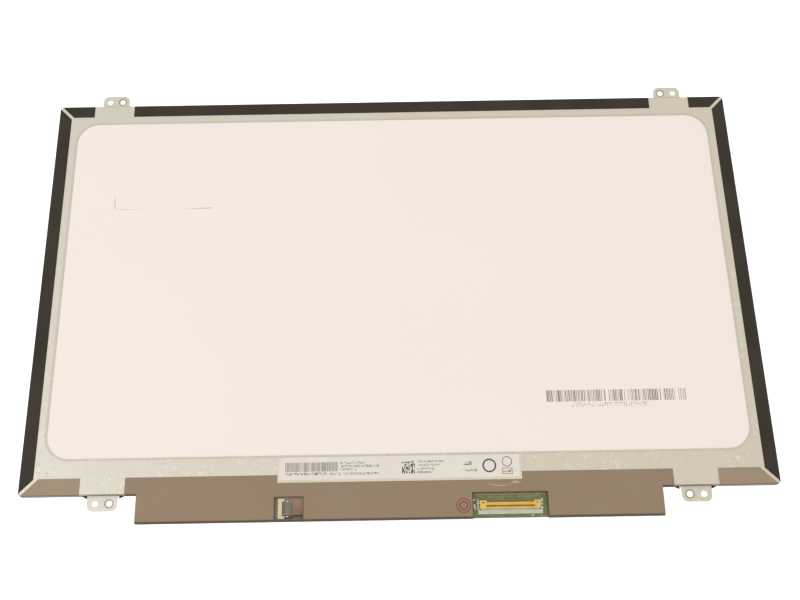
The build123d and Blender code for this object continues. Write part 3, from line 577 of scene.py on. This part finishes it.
class MarkTree:
    """A Geometry Nodes tree that sets small solids on the points of a grid."""

    # Names of the tree's inputs, by the kind of socket
    INPUTS = {
        "NodeSocketInt": ("Columns", "Rows", "Seed"),
        "NodeSocketFloat": ("Width", "Depth", "Left Out"),
        "NodeSocketVector": ("Smallest", "Largest", "Shift"),
        "NodeSocketMaterial": ("Material",),
    }

    def __init__(self, shape: MarkShape) -> None:
        """Build the tree for one kind of mark.

        Args:
            shape: The small solid that stands on each point.
        """
        self.shape = shape
        self.tree = bpy.data.node_groups.new(f"marks_{shape.name.lower()}", "GeometryNodeTree")
        interface = self.tree.interface
        self.identifiers = {
            name: interface.new_socket(name, in_out="INPUT", socket_type=kind).identifier
            for kind, names in self.INPUTS.items()
            for name in names
        }
        interface.new_socket("Geometry", in_out="OUTPUT", socket_type="NodeSocketGeometry")
        self.link()

    def link(self) -> None:
        """Link the grid, the left-out points, the shifts, the marks and their material."""
        tree = self.tree
        given = add_node(tree, "NodeGroupInput").outputs
        names = {"Size X": "Width", "Size Y": "Depth", "Vertices X": "Columns", "Vertices Y": "Rows"}
        spread = {key: given[name] for key, name in names.items()}
        grid = add_node(tree, "GeometryNodeMeshGrid", spread).outputs["Mesh"]
        chance = {"Probability": given["Left Out"], "Seed": given["Seed"]}
        bare = add_node(tree, "FunctionNodeRandomValue", chance, data_type="BOOLEAN").outputs[3]
        kept = add_node(tree, "GeometryNodeDeleteGeometry", {"Geometry": grid, "Selection": bare}).outputs[0]
        back = {0: given["Shift"], "Scale": -1.0}
        low = add_node(tree, "ShaderNodeVectorMath", back, operation="SCALE").outputs[0]
        offsets = {0: low, 1: given["Shift"], "Seed": given["Seed"]}
        offset = add_node(tree, "FunctionNodeRandomValue", offsets, data_type="FLOAT_VECTOR").outputs[0]
        moved = add_node(tree, "GeometryNodeSetPosition", {"Geometry": kept, "Offset": offset}).outputs[0]
        later = add_node(tree, "ShaderNodeMath", {0: given["Seed"], 1: 1.0}, operation="ADD").outputs[0]
        sizes = {0: given["Smallest"], 1: given["Largest"], "Seed": later}
        size = add_node(tree, "FunctionNodeRandomValue", sizes, data_type="FLOAT_VECTOR").outputs[0]
        kind, values = self.shape.value
        solid = add_node(tree, kind, values).outputs["Mesh"]
        stood = {"Points": moved, "Instance": solid, "Scale": size}
        marks = add_node(tree, "GeometryNodeInstanceOnPoints", stood).outputs[0]
        plain = add_node(tree, "GeometryNodeRealizeInstances", {0: marks}).outputs[0]
        dressed = {"Geometry": plain, "Material": given["Material"]}
        coated = add_node(tree, "GeometryNodeSetMaterial", dressed).outputs[0]
        add_node(tree, "NodeGroupOutput", {0: coated})

    def mesh(self, values: dict[str, Any]) -> Mesh:
        """Run the tree once.

        Args:
            values: A value for each of the tree's inputs, by its name.

        Returns:
            The marks as a plain mesh, round the origin.
        """
        carrier = add_object("marks", bpy.data.meshes.new("marks"))
        modifier = carrier.modifiers.new("marks", "NODES")
        modifier.node_group = self.tree
        for name, value in values.items():
            modifier[self.identifiers[name]] = value
        evaluated = carrier.evaluated_get(bpy.context.evaluated_depsgraph_get())
        made = bpy.data.meshes.new_from_object(evaluated)
        carrier.modifiers.clear()
        bpy.data.objects.remove(carrier)
        return made


@cache
def mark_tree(shape: MarkShape) -> MarkTree:
    """Return the one tree for a kind of mark."""
    return MarkTree(shape)


@dataclass(frozen=True)
class Marks:
    """A block of small marks between four edges, in millimetres.

    Attributes:
        edges: Left, right, lower and upper edge.
        columns: How many marks there are along X.
        rows: How many rows of them there are along Y.
        wide: Least and greatest width of a mark, as a share of its column.
        tall: Least and greatest height of a mark, as a share of its row.
        shift: How far a mark may stray, as a share of its column and row.
        left_out: Share of the marks that are missing.
        rise: Height of a mark above what carries it.
        seed: Seed of the widths, heights and gaps.
        shape: The small solid that each mark is.
    """

    edges: Edges
    columns: int = 1
    rows: int = 1
    wide: Point = (1.0, 1.0)
    tall: Point = (1.0, 1.0)
    shift: Point = (0.0, 0.0)
    left_out: float = 0.0
    rise: float = 0.012
    seed: int = 0
    shape: MarkShape = MarkShape.BLOCK

    def mesh(self, finish: Finish) -> Mesh:
        """Make the block of marks at its place in the plane z = 0.

        Args:
            finish: Finish of the marks.

        Returns:
            The marks, half above and half below that plane.
        """
        left, right, bottom, top = self.edges
        column = (right - left) / self.columns * MM
        row = (top - bottom) / self.rows * MM
        rise = 2 * self.rise * MM
        made = mark_tree(self.shape).mesh({
            "Columns": self.columns,
            "Rows": self.rows,
            "Width": column * (self.columns - 1),
            "Depth": row * (self.rows - 1),
            "Smallest": (column * self.wide[0], row * self.tall[0], rise),
            "Largest": (column * self.wide[1], row * self.tall[1], rise),
            "Shift": (column * self.shift[0], row * self.shift[1], 0.0),
            "Left Out": self.left_out,
            "Seed": self.seed,
            "Material": finish.material(),
        })
        middle = Vector(((left + right) / 2 * MM, (bottom + top) / 2 * MM, 0.0))
        for vertex in made.vertices:
            vertex.co += middle
        return made


class Swept:
    """A closed solid that is drawn through sections of equally many corners."""

    def sections(self) -> list[list[Vector]]:
        """Return the corners of each section in turn, in millimetres."""
        raise NotImplementedError

    def mesh(self, finish: Finish) -> Mesh:
        """Join the sections round the plane z = 0.

        Args:
            finish: Finish of the solid.

        Returns:
            A closed mesh.
        """
        shape = bmesh.new()
        loops = [[shape.verts.new(corner * MM) for corner in section] for section in self.sections()]
        for first, second in zip(loops, loops[1:]):
            for side in range(len(first)):
                shape.faces.new((first[side - 1], first[side], second[side], second[side - 1]))
        bmesh.ops.remove_doubles(shape, verts=shape.verts, dist=MERGE_M)
        bmesh.ops.holes_fill(shape, edges=shape.edges)
        bmesh.ops.recalc_face_normals(shape, faces=shape.faces)
        made = bpy.data.meshes.new("swept")
        shape.to_mesh(made)
        shape.free()
        made.materials.append(finish.material())
        return made


@dataclass(frozen=True)
class Ring(Swept):
    """A flat ring, in millimetres.

    Attributes:
        centre: Its middle.
        radius: Its outer radius.
        width: Width of its band.
        rise: How far it stands above what carries it, and reaches below.
    """

    centre: Point
    radius: float
    width: float
    rise: float

    SIDES = 64
    # Widest strip of the band, so that it follows the bend of what carries it
    STRIP = 0.2

    def sections(self) -> list[list[Vector]]:
        """Turn the band's section once round the centre.

        Returns:
            The corners of each section, the last of which meets the first.
        """
        strips = math.ceil(self.width / self.STRIP)
        reaches = [self.radius - self.width * strip / strips for strip in range(strips + 1)]
        upper = [(reach, self.rise) for reach in reaches]
        band = upper + [(reach, -self.rise) for reach in reversed(reaches)]
        x, y = self.centre
        found = []
        for step in range(self.SIDES + 1):
            turn = math.tau * step / self.SIDES
            found.append([Vector((x + r * math.cos(turn), y + r * math.sin(turn), z)) for r, z in band])
        return found


@dataclass(frozen=True)
class Ridge(Swept):
    """A low ridge along a curve, thinner at both ends, in millimetres.

    Attributes:
        start: First point of the curve.
        pull: Point that bends it.
        end: Its last point.
        width: Width of the ridge in its middle.
        rise: Its height in its middle.
        taper: Width and height at its ends, as a share of the middle's.
    """

    start: Point
    pull: Point
    end: Point
    width: float
    rise: float
    taper: float = 0.25

    STEPS = 16
    # Width of the crest, as a share of the foot
    CREST = 0.4

    def sections(self) -> list[list[Vector]]:
        """Stand a section across each point of the curve.

        Returns:
            The corners of each section.
        """
        start, pull, end = (Vector((*point, 0.0)) for point in (self.start, self.pull, self.end))
        shares = [step / self.STEPS for step in range(self.STEPS + 1)]
        points = [start.lerp(pull, share).lerp(pull.lerp(end, share), share) for share in shares]
        base = Vector((0, 0, -self.rise))
        found = []
        for index, point in enumerate(points):
            before, after = points[max(index - 1, 0)], points[min(index + 1, self.STEPS)]
            across = (after - before).normalized().cross(Vector((0, 0, 1)))
            size = self.taper + (1 - self.taper) * math.sin(math.pi * index / self.STEPS)
            side = across * self.width / 2 * size
            crest = side * self.CREST
            top = Vector((0, 0, self.rise * size))
            found.append([point + corner for corner in (side + base, crest + top, top - crest, base - side)])
        return found


def level(height: float) -> Surface:
    """Return a flat surface at one height, in metres."""
    return lambda x, y: height


@dataclass
class SubAssembly:
    """What every sub-assembly of the panel does: it dresses CAD nodes and adds pieces to them.

    Attributes:
        nodes: The CAD nodes' objects, by name.
    """

    nodes: dict[str, bpy.types.Object]

    def build(self) -> None:
        """Dress the sub-assembly's nodes and add its pieces."""
        raise NotImplementedError

    def dress(self, finish: Finish, *names: str) -> None:
        """Give a finish to CAD nodes.

        Args:
            finish: The finish.
            names: The nodes that get it.
        """
        for name in names:
            node = self.nodes[name]
            if not node.material_slots:
                node.data.materials.append(None)
            for slot in node.material_slots:
                slot.material = finish.material()
            LOG.info("%s: %s", name, finish.name)

    def add(
        self, name: str, finish: Finish, shapes: Iterable[Marks | Swept], surface: Surface, slot: str,
    ) -> None:
        """Join shapes into one piece, lay it on a surface and let it ride on the panel.

        Args:
            name: The piece's name.
            finish: Its finish.
            shapes: What it is made of, round the plane z = 0.
            surface: Height of what carries it, in metres, at a place in metres.
            slot: The record's material slot that its finish goes with; not used.
        """
        whole = bmesh.new()
        for shape in shapes:
            part = shape.mesh(finish)
            whole.from_mesh(part)
            bpy.data.meshes.remove(part)
        for vertex in whole.verts:
            vertex.co.z += surface(vertex.co.x, vertex.co.y)
        joined = bpy.data.meshes.new(name)
        whole.to_mesh(joined)
        whole.free()
        joined.materials.append(finish.material())
        piece = add_object(name, joined)
        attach(piece, PANEL)
        LOG.info("%s: %s, %d faces", name, finish.name, len(joined.polygons))


@dataclass
class DisplayCell(SubAssembly):
    """The liquid-crystal cell with its polarisers and tape."""

    def build(self) -> None:
        """Dress the cell's layers."""
        self.dress(FRONT_POLARISER, "front_polariser")
        self.dress(DISPLAY_GLASS, "filter_glass", "array_glass")
        self.dress(REAR_POLARISER, "rear_polariser")
        self.dress(SHIELD_TAPE, "cell_tape")


@dataclass
class Backlight(SubAssembly):
    """The moulded frame, the optical sheets, the diodes and the reflector with its print.

    Attributes:
        bars: The bar print on the reflector.
        strokes: The row of strokes below it.
        creases: The two arms of the angled crease, and the straight one.
    """

    bars: Marks = Marks(
        (63.8, 125.7, -54.0, -48.9), columns=92, wide=(0.2, 0.85), shift=(0.12, 0.0), left_out=0.1, seed=11,
    )
    strokes: Marks = Marks(
        (75.3, 108.0, -56.5, -54.5), columns=44, rows=3, wide=(0.15, 0.7), tall=(0.25, 0.95),
        shift=(0.1, 0.1), left_out=0.3, seed=5,
    )
    creases: tuple[Ridge, ...] = (
        Ridge((-130.1, 49.7), (-129.8, 41.5), (-129.8, 41.5), width=0.8, rise=0.03),
        Ridge((-129.8, 41.5), (-129.8, 41.5), (-116.3, 41.4), width=0.45, rise=0.02),
        Ridge((-97.8, 41.3), (-84.0, 41.7), (-84.0, 41.7), width=0.75, rise=0.02),
    )

    def build(self) -> None:
        """Dress the layers, then print and crease the reflector."""
        self.dress(WHITE_MOULDING, "mould_frame")
        self.dress(OPTICAL_FILM, "upper_prism_sheet", "lower_prism_sheet", "diffuser_sheet")
        self.dress(GUIDE_ACRYLIC, "light_guide")
        self.dress(REFLECTOR_FILM, "reflector_sheet")
        self.dress(DIODE_PACKAGE, "backlight_leds")
        self.dress(BROWN_FLEX, "led_flex")
        top = level(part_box("reflector_sheet")[1].z)
        self.add("reflector_print", JET_INK, [self.bars], top, "white_reflector")
        self.add("reflector_strokes", FADED_INK, [self.strokes], top, "white_reflector")
        self.add("reflector_creases", CREASE_FILM, self.creases, top, "white_reflector")


@dataclass
class RearFrame(SubAssembly):
    """The folded steel frame and the black tapes round its edges."""

    def build(self) -> None:
        """Dress the steel and the tapes."""
        self.dress(GALVANISED_STEEL, "rear_frame")
        self.dress(SHIELD_TAPE, "edge_tape_left", "edge_tape_right", "edge_tape_top", "edge_tape_bottom")


@dataclass
class CoverFilm(SubAssembly):
    """The taupe film over the board, with a ring stamp and trails of glue on it, painted shadow along its
    cut edges and a painted highlight below the notch's upper edge.

    Attributes:
        stamp: The two rings of the stamp.
        tint: The tinted disc under them.
        trails: The glue trails.
        openings: Left, right, lower and upper edge of the window and of the notch, in millimetres.
        cut_line: Width of the dark line of painted shadow along a cut edge.
        cut_rise: Height of that line.
        edge_highlight: A pale strip on the board below the notch's upper edge, a painted highlight of the
            film's cut edge catching the light.
    """

    stamp: tuple[Ring, ...] = (
        Ring((26.65, -97.9), radius=3.05, width=0.34, rise=0.008),
        Ring((26.65, -97.9), radius=1.8, width=0.42, rise=0.008),
    )
    tint: Ring = Ring((26.65, -97.9), radius=3.05, width=3.05, rise=0.004)
    trails: tuple[Ridge, ...] = (
        Ridge((36.4, -88.2), (40.5, -91.0), (48.2, -89.1), width=0.5, rise=0.025, taper=0.1),
        Ridge((46.4, -89.0), (49.0, -88.5), (51.6, -88.3), width=0.7, rise=0.025, taper=0.1),
        Ridge((47.2, -88.1), (48.6, -88.0), (50.2, -88.4), width=0.6, rise=0.025, taper=0.1),
    )
    openings: tuple[Edges, ...] = (
        (-52.29, -40.29, -102.4, -93.2),
        (30.55, 61.95, -102.6, -92.6),
    )
    cut_line: float = 0.25
    cut_rise: float = 0.006
    edge_highlight: Marks = Marks((31.2, 61.2, -93.45, -92.95), rise=0.06)

    def build(self) -> None:
        """Dress the film, then add the stamp, the glue, the painted shadow along the cut edges and the
        painted highlight below the notch.
        """
        self.dress(COVER_FILM, "cover_film")
        self.dress(CORNER_FILM, "corner_film_left", "corner_film_right")
        top = level(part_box("corner_film_left")[1].z)
        self.add("stamp_rings", STAMP_INK, self.stamp, top, "taupe_film")
        self.add("stamp_tint", STAMP_TINT, [self.tint], top, "taupe_film")
        self.add("glue_trails", GLUE_TRAIL, self.trails, top, "taupe_film")
        # Painted shadow: dark lines on the film along the cut edges of the window and the notch
        self.add("film_cut_edges", CUT_EDGE_SHADOW, self.cut_edges(), top, "taupe_film")
        board = level(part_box("circuit_board")[1].z)
        # Painted highlight: a pale strip of film colour on the board where the film's cut edge above catches
        # the light
        self.add("film_edge_highlight", CORNER_FILM, [self.edge_highlight], board, "taupe_film")

    def cut_edges(self) -> list[Marks]:
        """Draw the dark lines of painted shadow along the openings.

        Returns:
            The lines left of, right of and above each opening.
        """
        lines = []
        line = self.cut_line
        for left, right, bottom, top in self.openings:
            for edges in (
                (left - line, left, bottom, top + line),
                (right, right + line, bottom, top + line),
                (left, right, top, top + line),
            ):
                lines.append(Marks(edges, rise=self.cut_rise))
        return lines


@dataclass
class Label(SubAssembly):
    """The paper label with its plain, meaningless print.

    Attributes:
        ramp_top: Where the label leaves the steel, in millimetres.
        ramp_foot: Where it reaches the film.
        bars: The bar print.
        patch: The dotted square.
        lines: Left end, right end, middle and height of each line of strokes.
        rings: The bold ring and the thin one.
        box: Edges of the outlined box.
        lower_band: The darker, yellower band along the lower edge.
        sides: The margins that lie on the film, left and right of the paper.
    """

    # Height of the print above the paper, width of a stroke's column and of the box's line, in millimetres
    INK = 0.008
    STROKE = 0.5
    BOX_LINE = 0.2
    # How many steps a line of the box has, so that it follows the paper
    BOX_STEPS = 5
    # Seed of the first line of strokes; each further line has the next
    LINE_SEED = 20

    ramp_top: float = -83.1
    ramp_foot: float = -83.9
    bars: Marks = Marks(
        (-48.0, -25.7, -82.7, -78.8), columns=58, wide=(0.22, 0.64), shift=(0.1, 0.0), left_out=0.06,
        rise=INK, seed=3,
    )
    patch: Marks = Marks((1.3, 6.8, -84.2, -78.7), columns=13, rows=13, left_out=0.5, rise=INK, seed=8)
    lines: tuple[Edges, ...] = (
        (-47.9, -30.6, -83.65, 1.2),
        (-25.0, -14.0, -79.2, 0.9),
        (-25.0, -8.4, -80.6, 1.1),
        (-25.0, -17.7, -82.0, 0.9),
        (-29.2, -24.3, -83.75, 1.1),
        (-23.6, -8.1, -83.8, 1.0),
        (7.6, 19.4, -79.1, 0.9),
        (8.5, 17.5, -80.6, 0.9),
        (7.6, 15.3, -82.2, 0.9),
        (7.5, 14.4, -83.7, 0.9),
        (26.6, 32.9, -83.1, 1.3),
        (27.2, 30.9, -80.2, 1.8),
        (44.0, 47.5, -83.7, 1.3),
    )
    rings: tuple[Ring, ...] = (
        Ring((38.2, -81.3), radius=2.95, width=0.7, rise=INK),
        Ring((45.7, -79.7), radius=2.15, width=0.3, rise=INK),
    )
    box: Edges = (43.6, 47.9, -85.0, -82.4)
    lower_band: Marks = Marks((-50.55, 50.95, -87.15, -86.15), rise=0.006)
    sides: tuple[Marks, ...] = (
        Marks((-51.2, -50.6, -87.2, -83.95), rise=0.03),
        Marks((51.0, 51.75, -87.2, -83.95), rise=0.03),
    )

    def build(self) -> None:
        """Dress the paper, print on it and add its margins."""
        self.dress(LABEL_PAPER, "label_sticker")
        paper = self.surface()
        printed = [self.bars, self.patch, *self.strokes(), *self.rings, *self.outline()]
        self.add("label_print", LABEL_INK, printed, paper, "label_paper")
        self.add("label_lower_band", LABEL_MARGIN, [self.lower_band], paper, "label_paper")
        film = level(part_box("corner_film_left")[1].z)
        self.add("label_sides", LABEL_MARGIN, self.sides, film, "label_paper")

    def surface(self) -> Surface:
        """Follow the label's upper face, which climbs from the steel on to the film.

        Returns:
            The face's height at any place.
        """
        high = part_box("label_sticker")[1].z
        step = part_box("corner_film_left")[1].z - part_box("rear_frame")[1].z
        top, run = self.ramp_top * MM, (self.ramp_top - self.ramp_foot) * MM
        return lambda x, y: high - step + step * min(max((top - y) / run, 0.0), 1.0)

    def strokes(self) -> list[Marks]:
        """Draw the lines of short strokes.

        Returns:
            One block of strokes for each line.
        """
        blocks = []
        for number, (left, right, middle, height) in enumerate(self.lines):
            blocks.append(Marks(
                (left, right, middle - height / 2, middle + height / 2),
                columns=round((right - left) / self.STROKE), rows=2, wide=(0.3, 1.0), tall=(0.25, 0.9),
                shift=(0.1, 0.1), left_out=0.22, rise=self.INK, seed=self.LINE_SEED + number,
            ))
        return blocks

    def outline(self) -> list[Marks]:
        """Draw the outlined box.

        Returns:
            Its lower, upper, left and right line.
        """
        left, right, bottom, top = self.box
        line = self.BOX_LINE
        sides = (
            (left, right, bottom, bottom + line),
            (left, right, top - line, top),
            (left, left + line, bottom, top),
            (right - line, right, bottom, top),
        )
        return [Marks(edges, rows=self.BOX_STEPS, rise=self.INK) for edges in sides]


@dataclass
class Board(SubAssembly):
    """The circuit board with its chips, its flexes and what shows of it in the film's openings.

    Attributes:
        lands: The masked copper areas behind the cable socket.
        holes: The drilled holes among them.
        solder: The solder beads at the socket's ends.
        legend: The white legend marks in front of it.
    """

    lands: tuple[Marks, ...] = tuple(
        Marks((left, right, -94.9, -93.6), rise=0.03)
        for left, right in ((36.4, 40.9), (41.6, 46.8), (48.9, 55.2), (56.1, 59.2))
    )
    holes: Marks = Marks(
        (35.8, 60.4, -95.2, -93.3), columns=14, rows=2, wide=(0.2, 0.3), tall=(0.4, 0.5), shift=(0.3, 0.2),
        left_out=0.5, rise=0.04, seed=4, shape=MarkShape.DISC,
    )
    solder: tuple[Marks, ...] = tuple(
        Marks(
            (left, right, -99.6, -95.0), columns=2, rows=6, wide=(0.7, 1.2), tall=(0.5, 1.0),
            shift=(0.2, 0.2), left_out=0.3, rise=0.07, seed=seed, shape=MarkShape.DOME,
        )
        for left, right, seed in ((30.7, 31.7, 6), (32.4, 33.4, 7), (59.1, 60.1, 8))
    )
    legend: tuple[Marks, ...] = (
        Marks((54.85, 55.3, -102.45, -101.85), rise=0.02),
        Marks((55.6, 56.0, -102.4, -101.8), rise=0.02),
        Marks((58.85, 59.2, -102.35, -102.0), rise=0.02),
    )

    def build(self) -> None:
        """Dress the board, then add lands, holes, solder and legend marks."""
        self.dress(BOARD_MASK, "circuit_board")
        self.dress(CHIP_EPOXY, "timing_chip", "backlight_driver_chip", "driver_chips")
        self.dress(FERRITE, "power_coil")
        self.dress(CERAMIC, "board_capacitors")
        self.dress(AMBER_FLEX, "driver_flex_left", "driver_flex_middle", "driver_flex_right")
        top = level(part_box("circuit_board")[1].z)
        self.add("board_lands", MASKED_COPPER, self.lands, top, "green_board")
        self.add("board_holes", PLUG_AND_NOTCH_SHADE, [self.holes], top, "green_board")
        self.add("board_solder", SOLDER, self.solder, top, "tin_plate")
        self.add("board_legend", LEGEND_INK, self.legend, top, "green_board")


@dataclass
class CableSocket(SubAssembly):
    """The forty-way cable socket in the film's open notch.

    Attributes:
        springs: The row of contact springs that shows in the shell's slit.
        spring_foot: Height of the floor that the springs rise from, in millimetres.
        notches: Painted shade of the notches at the ends of the housing's open floor, as flat dark marks.
        apron: Height of that floor.
    """

    springs: Marks = Marks((36.25, 56.25, -98.8, -97.7), columns=40, wide=(0.7, 0.7), rise=0.25)
    spring_foot: float = 2.5
    notches: tuple[Marks, ...] = (
        Marks((33.35, 34.0, -99.85, -99.45), rise=0.02),
        Marks((58.35, 59.05, -99.8, -99.4), rise=0.02),
    )
    apron: float = 2.4

    def build(self) -> None:
        """Dress the socket, then add the contact springs and the painted shade of the notches."""
        self.dress(IVORY_NYLON, "input_socket_housing")
        self.dress(GOLD_PLATE, "input_socket_shell")
        # Painted shade: the contacts and the springs are gold painted a darker orange-brown, for where they
        # sit in shade
        self.dress(GOLD_CONTACT_SHADE, "input_socket_contacts")
        foot, apron = level(self.spring_foot * MM), level(self.apron * MM)
        self.add("contact_springs", GOLD_CONTACT_SHADE, [self.springs], foot, "gold_plate")
        # Painted shade: flat dark marks stand for the shade in the notches at the floor's ends
        self.add("apron_notch_shade", PLUG_AND_NOTCH_SHADE, self.notches, apron, "ivory_moulding")


@dataclass
class FlexSocket(SubAssembly):
    """The flip-lock socket in the film's window.

    Attributes:
        shade_blobs: Painted shadow below the socket, as low dark blobs that run into each other.
        residue: The dried flux behind and above it.
        flex_line: The dark line of painted shadow along the flex's lower edge.
        tab_beads: The solder beads on the tabs' tips.
        tab_top: Height of those tips, in millimetres.
    """

    shade_blobs: Marks = Marks(
        (-50.2, -44.6, -102.5, -100.9), columns=6, rows=2, wide=(1.3, 1.7), tall=(1.3, 1.7),
        shift=(0.1, 0.1), rise=0.02, seed=2, shape=MarkShape.DOME,
    )
    residue: tuple[Marks, ...] = (
        replace(shade_blobs, edges=(-52.25, -50.7, -102.3, -93.0), columns=2, rows=9, rise=0.06),
        replace(shade_blobs, edges=(-50.7, -45.9, -95.6, -93.0), columns=5, rows=3, rise=0.06),
    )
    flex_line: Marks = Marks((-44.4, -40.3, -101.15, -100.5), rise=0.2)
    tab_beads: tuple[Marks, ...] = (
        Marks((-47.1, -46.4, -95.15, -94.5), rise=0.08, shape=MarkShape.DOME),
        Marks((-47.1, -46.4, -101.4, -100.75), rise=0.08, shape=MarkShape.DOME),
    )
    tab_top: float = 2.45

    def build(self) -> None:
        """Dress the socket and its lever, then add the flux, the painted shadows below the socket and along
        the flex's edge, and the beads.
        """
        self.dress(BEIGE_POLYMER, "backlight_socket_housing")
        self.dress(GREY_POLYMER, "backlight_socket_lever")
        self.dress(FLUXED_TAIL, "backlight_socket_contacts")
        self.dress(TIN_PLATE, "backlight_socket_tabs")
        top = level(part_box("circuit_board")[1].z)
        self.add("dried_flux", FLUXED_TAIL, self.residue, top, "green_board")
        # Painted shadow: dark brown blobs on the board below the socket
        self.add("painted_shadow_below_socket", SOCKET_SHADOW, [self.shade_blobs], top, "green_board")
        # Painted shadow: a dark line on the board along the flex's lower edge
        self.add("flex_edge_shadow", FLEX_SHADOW, [self.flex_line], top, "brown_flex")
        self.add("tab_beads", SOLDER, self.tab_beads, level(self.tab_top * MM), "tin_plate")


@dataclass
class Studio:
    """The floor, the light and the camera.

    Attributes:
        floor_half_m: Half the floor's width.
        sky: Strength of the even light from all sides.
        key_watts: Power of the large lamp.
        key_side_m: Width of that lamp.
        key_place_m: Where it hangs.
        camera_place_mm: Where the camera stands.
        camera_turn: Its turn about X, Y and Z, in radians.
        sensor_mm: Width of its sensor.
        lens_mm: Its focal length.
        shift: Shift of the picture, as shares of its width.
        near_m: Distance from which on it sees.
    """

    floor_half_m: float = 4.0
    sky: float = 0.92
    key_watts: float = 2.4
    key_side_m: float = 0.8
    key_place_m: Place = (-0.75, -0.35, 0.9)
    camera_place_mm: Place = (-3.892, -167.914, 430.856)
    camera_turn: Place = (0.36216, 0.00583, -0.01583)
    sensor_mm: float = 36.0
    lens_mm: float = 45.862
    shift: Point = (0.01624, 0.00028)
    near_m: float = 0.01

    def build(self) -> None:
        """Set up the stage."""
        self.floor()
        self.light()
        self.camera()
        bpy.context.scene.view_settings.view_transform = "Standard"

    def floor(self) -> None:
        """Lay the floor under the panel."""
        half = self.floor_half_m
        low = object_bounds()[0].z
        corners = [(x, y, low) for x, y in ((-half, -half), (half, -half), (half, half), (-half, half))]
        mesh = bpy.data.meshes.new("floor")
        mesh.from_pydata(corners, [], [(0, 1, 2, 3)])
        mesh.materials.append(SWEEP.material())
        floor = add_object("floor", mesh)
        floor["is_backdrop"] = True

    def light(self) -> None:
        """Light the stage evenly, with one large soft lamp above it."""
        world = bpy.data.worlds.new("studio")
        world.use_nodes = True
        sky = world.node_tree.nodes["Background"]
        sky.inputs["Color"].default_value = linear("#ffffff")
        sky.inputs["Strength"].default_value = self.sky
        bpy.context.scene.world = world
        lamp = bpy.data.lights.new("key", "AREA")
        lamp.energy = self.key_watts
        lamp.size = self.key_side_m
        key = add_object("key", lamp)
        key.location = self.key_place_m
        key.rotation_euler = (-Vector(self.key_place_m)).to_track_quat("-Z", "Y").to_euler()

    def camera(self) -> None:
        """Stand the camera where the picture was taken from."""
        lens = bpy.data.cameras.new("camera")
        lens.sensor_width = self.sensor_mm
        lens.lens = self.lens_mm
        lens.shift_x, lens.shift_y = self.shift
        lens.clip_start = self.near_m
        camera = add_object("camera", lens)
        camera.location = Vector(self.camera_place_mm) * MM
        camera.rotation_euler = self.camera_turn
        bpy.context.scene.camera = camera


def write_sizes() -> None:
    """Update the view layer.
    """
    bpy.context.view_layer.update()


def main() -> None:
    """Load the frame, build the sub-assemblies on it and set up the studio."""
    logging.basicConfig(level=logging.INFO, format="%(name)s %(message)s")
    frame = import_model()
    nodes = frame["nodes"]
    for kind in (DisplayCell, Backlight, RearFrame, CoverFilm, Label, Board, CableSocket, FlexSocket):
        LOG.info("building %s", kind.__name__)
        kind(nodes).build()
    Studio().build()
    write_sizes()


if __name__ == "__main__":
    main()
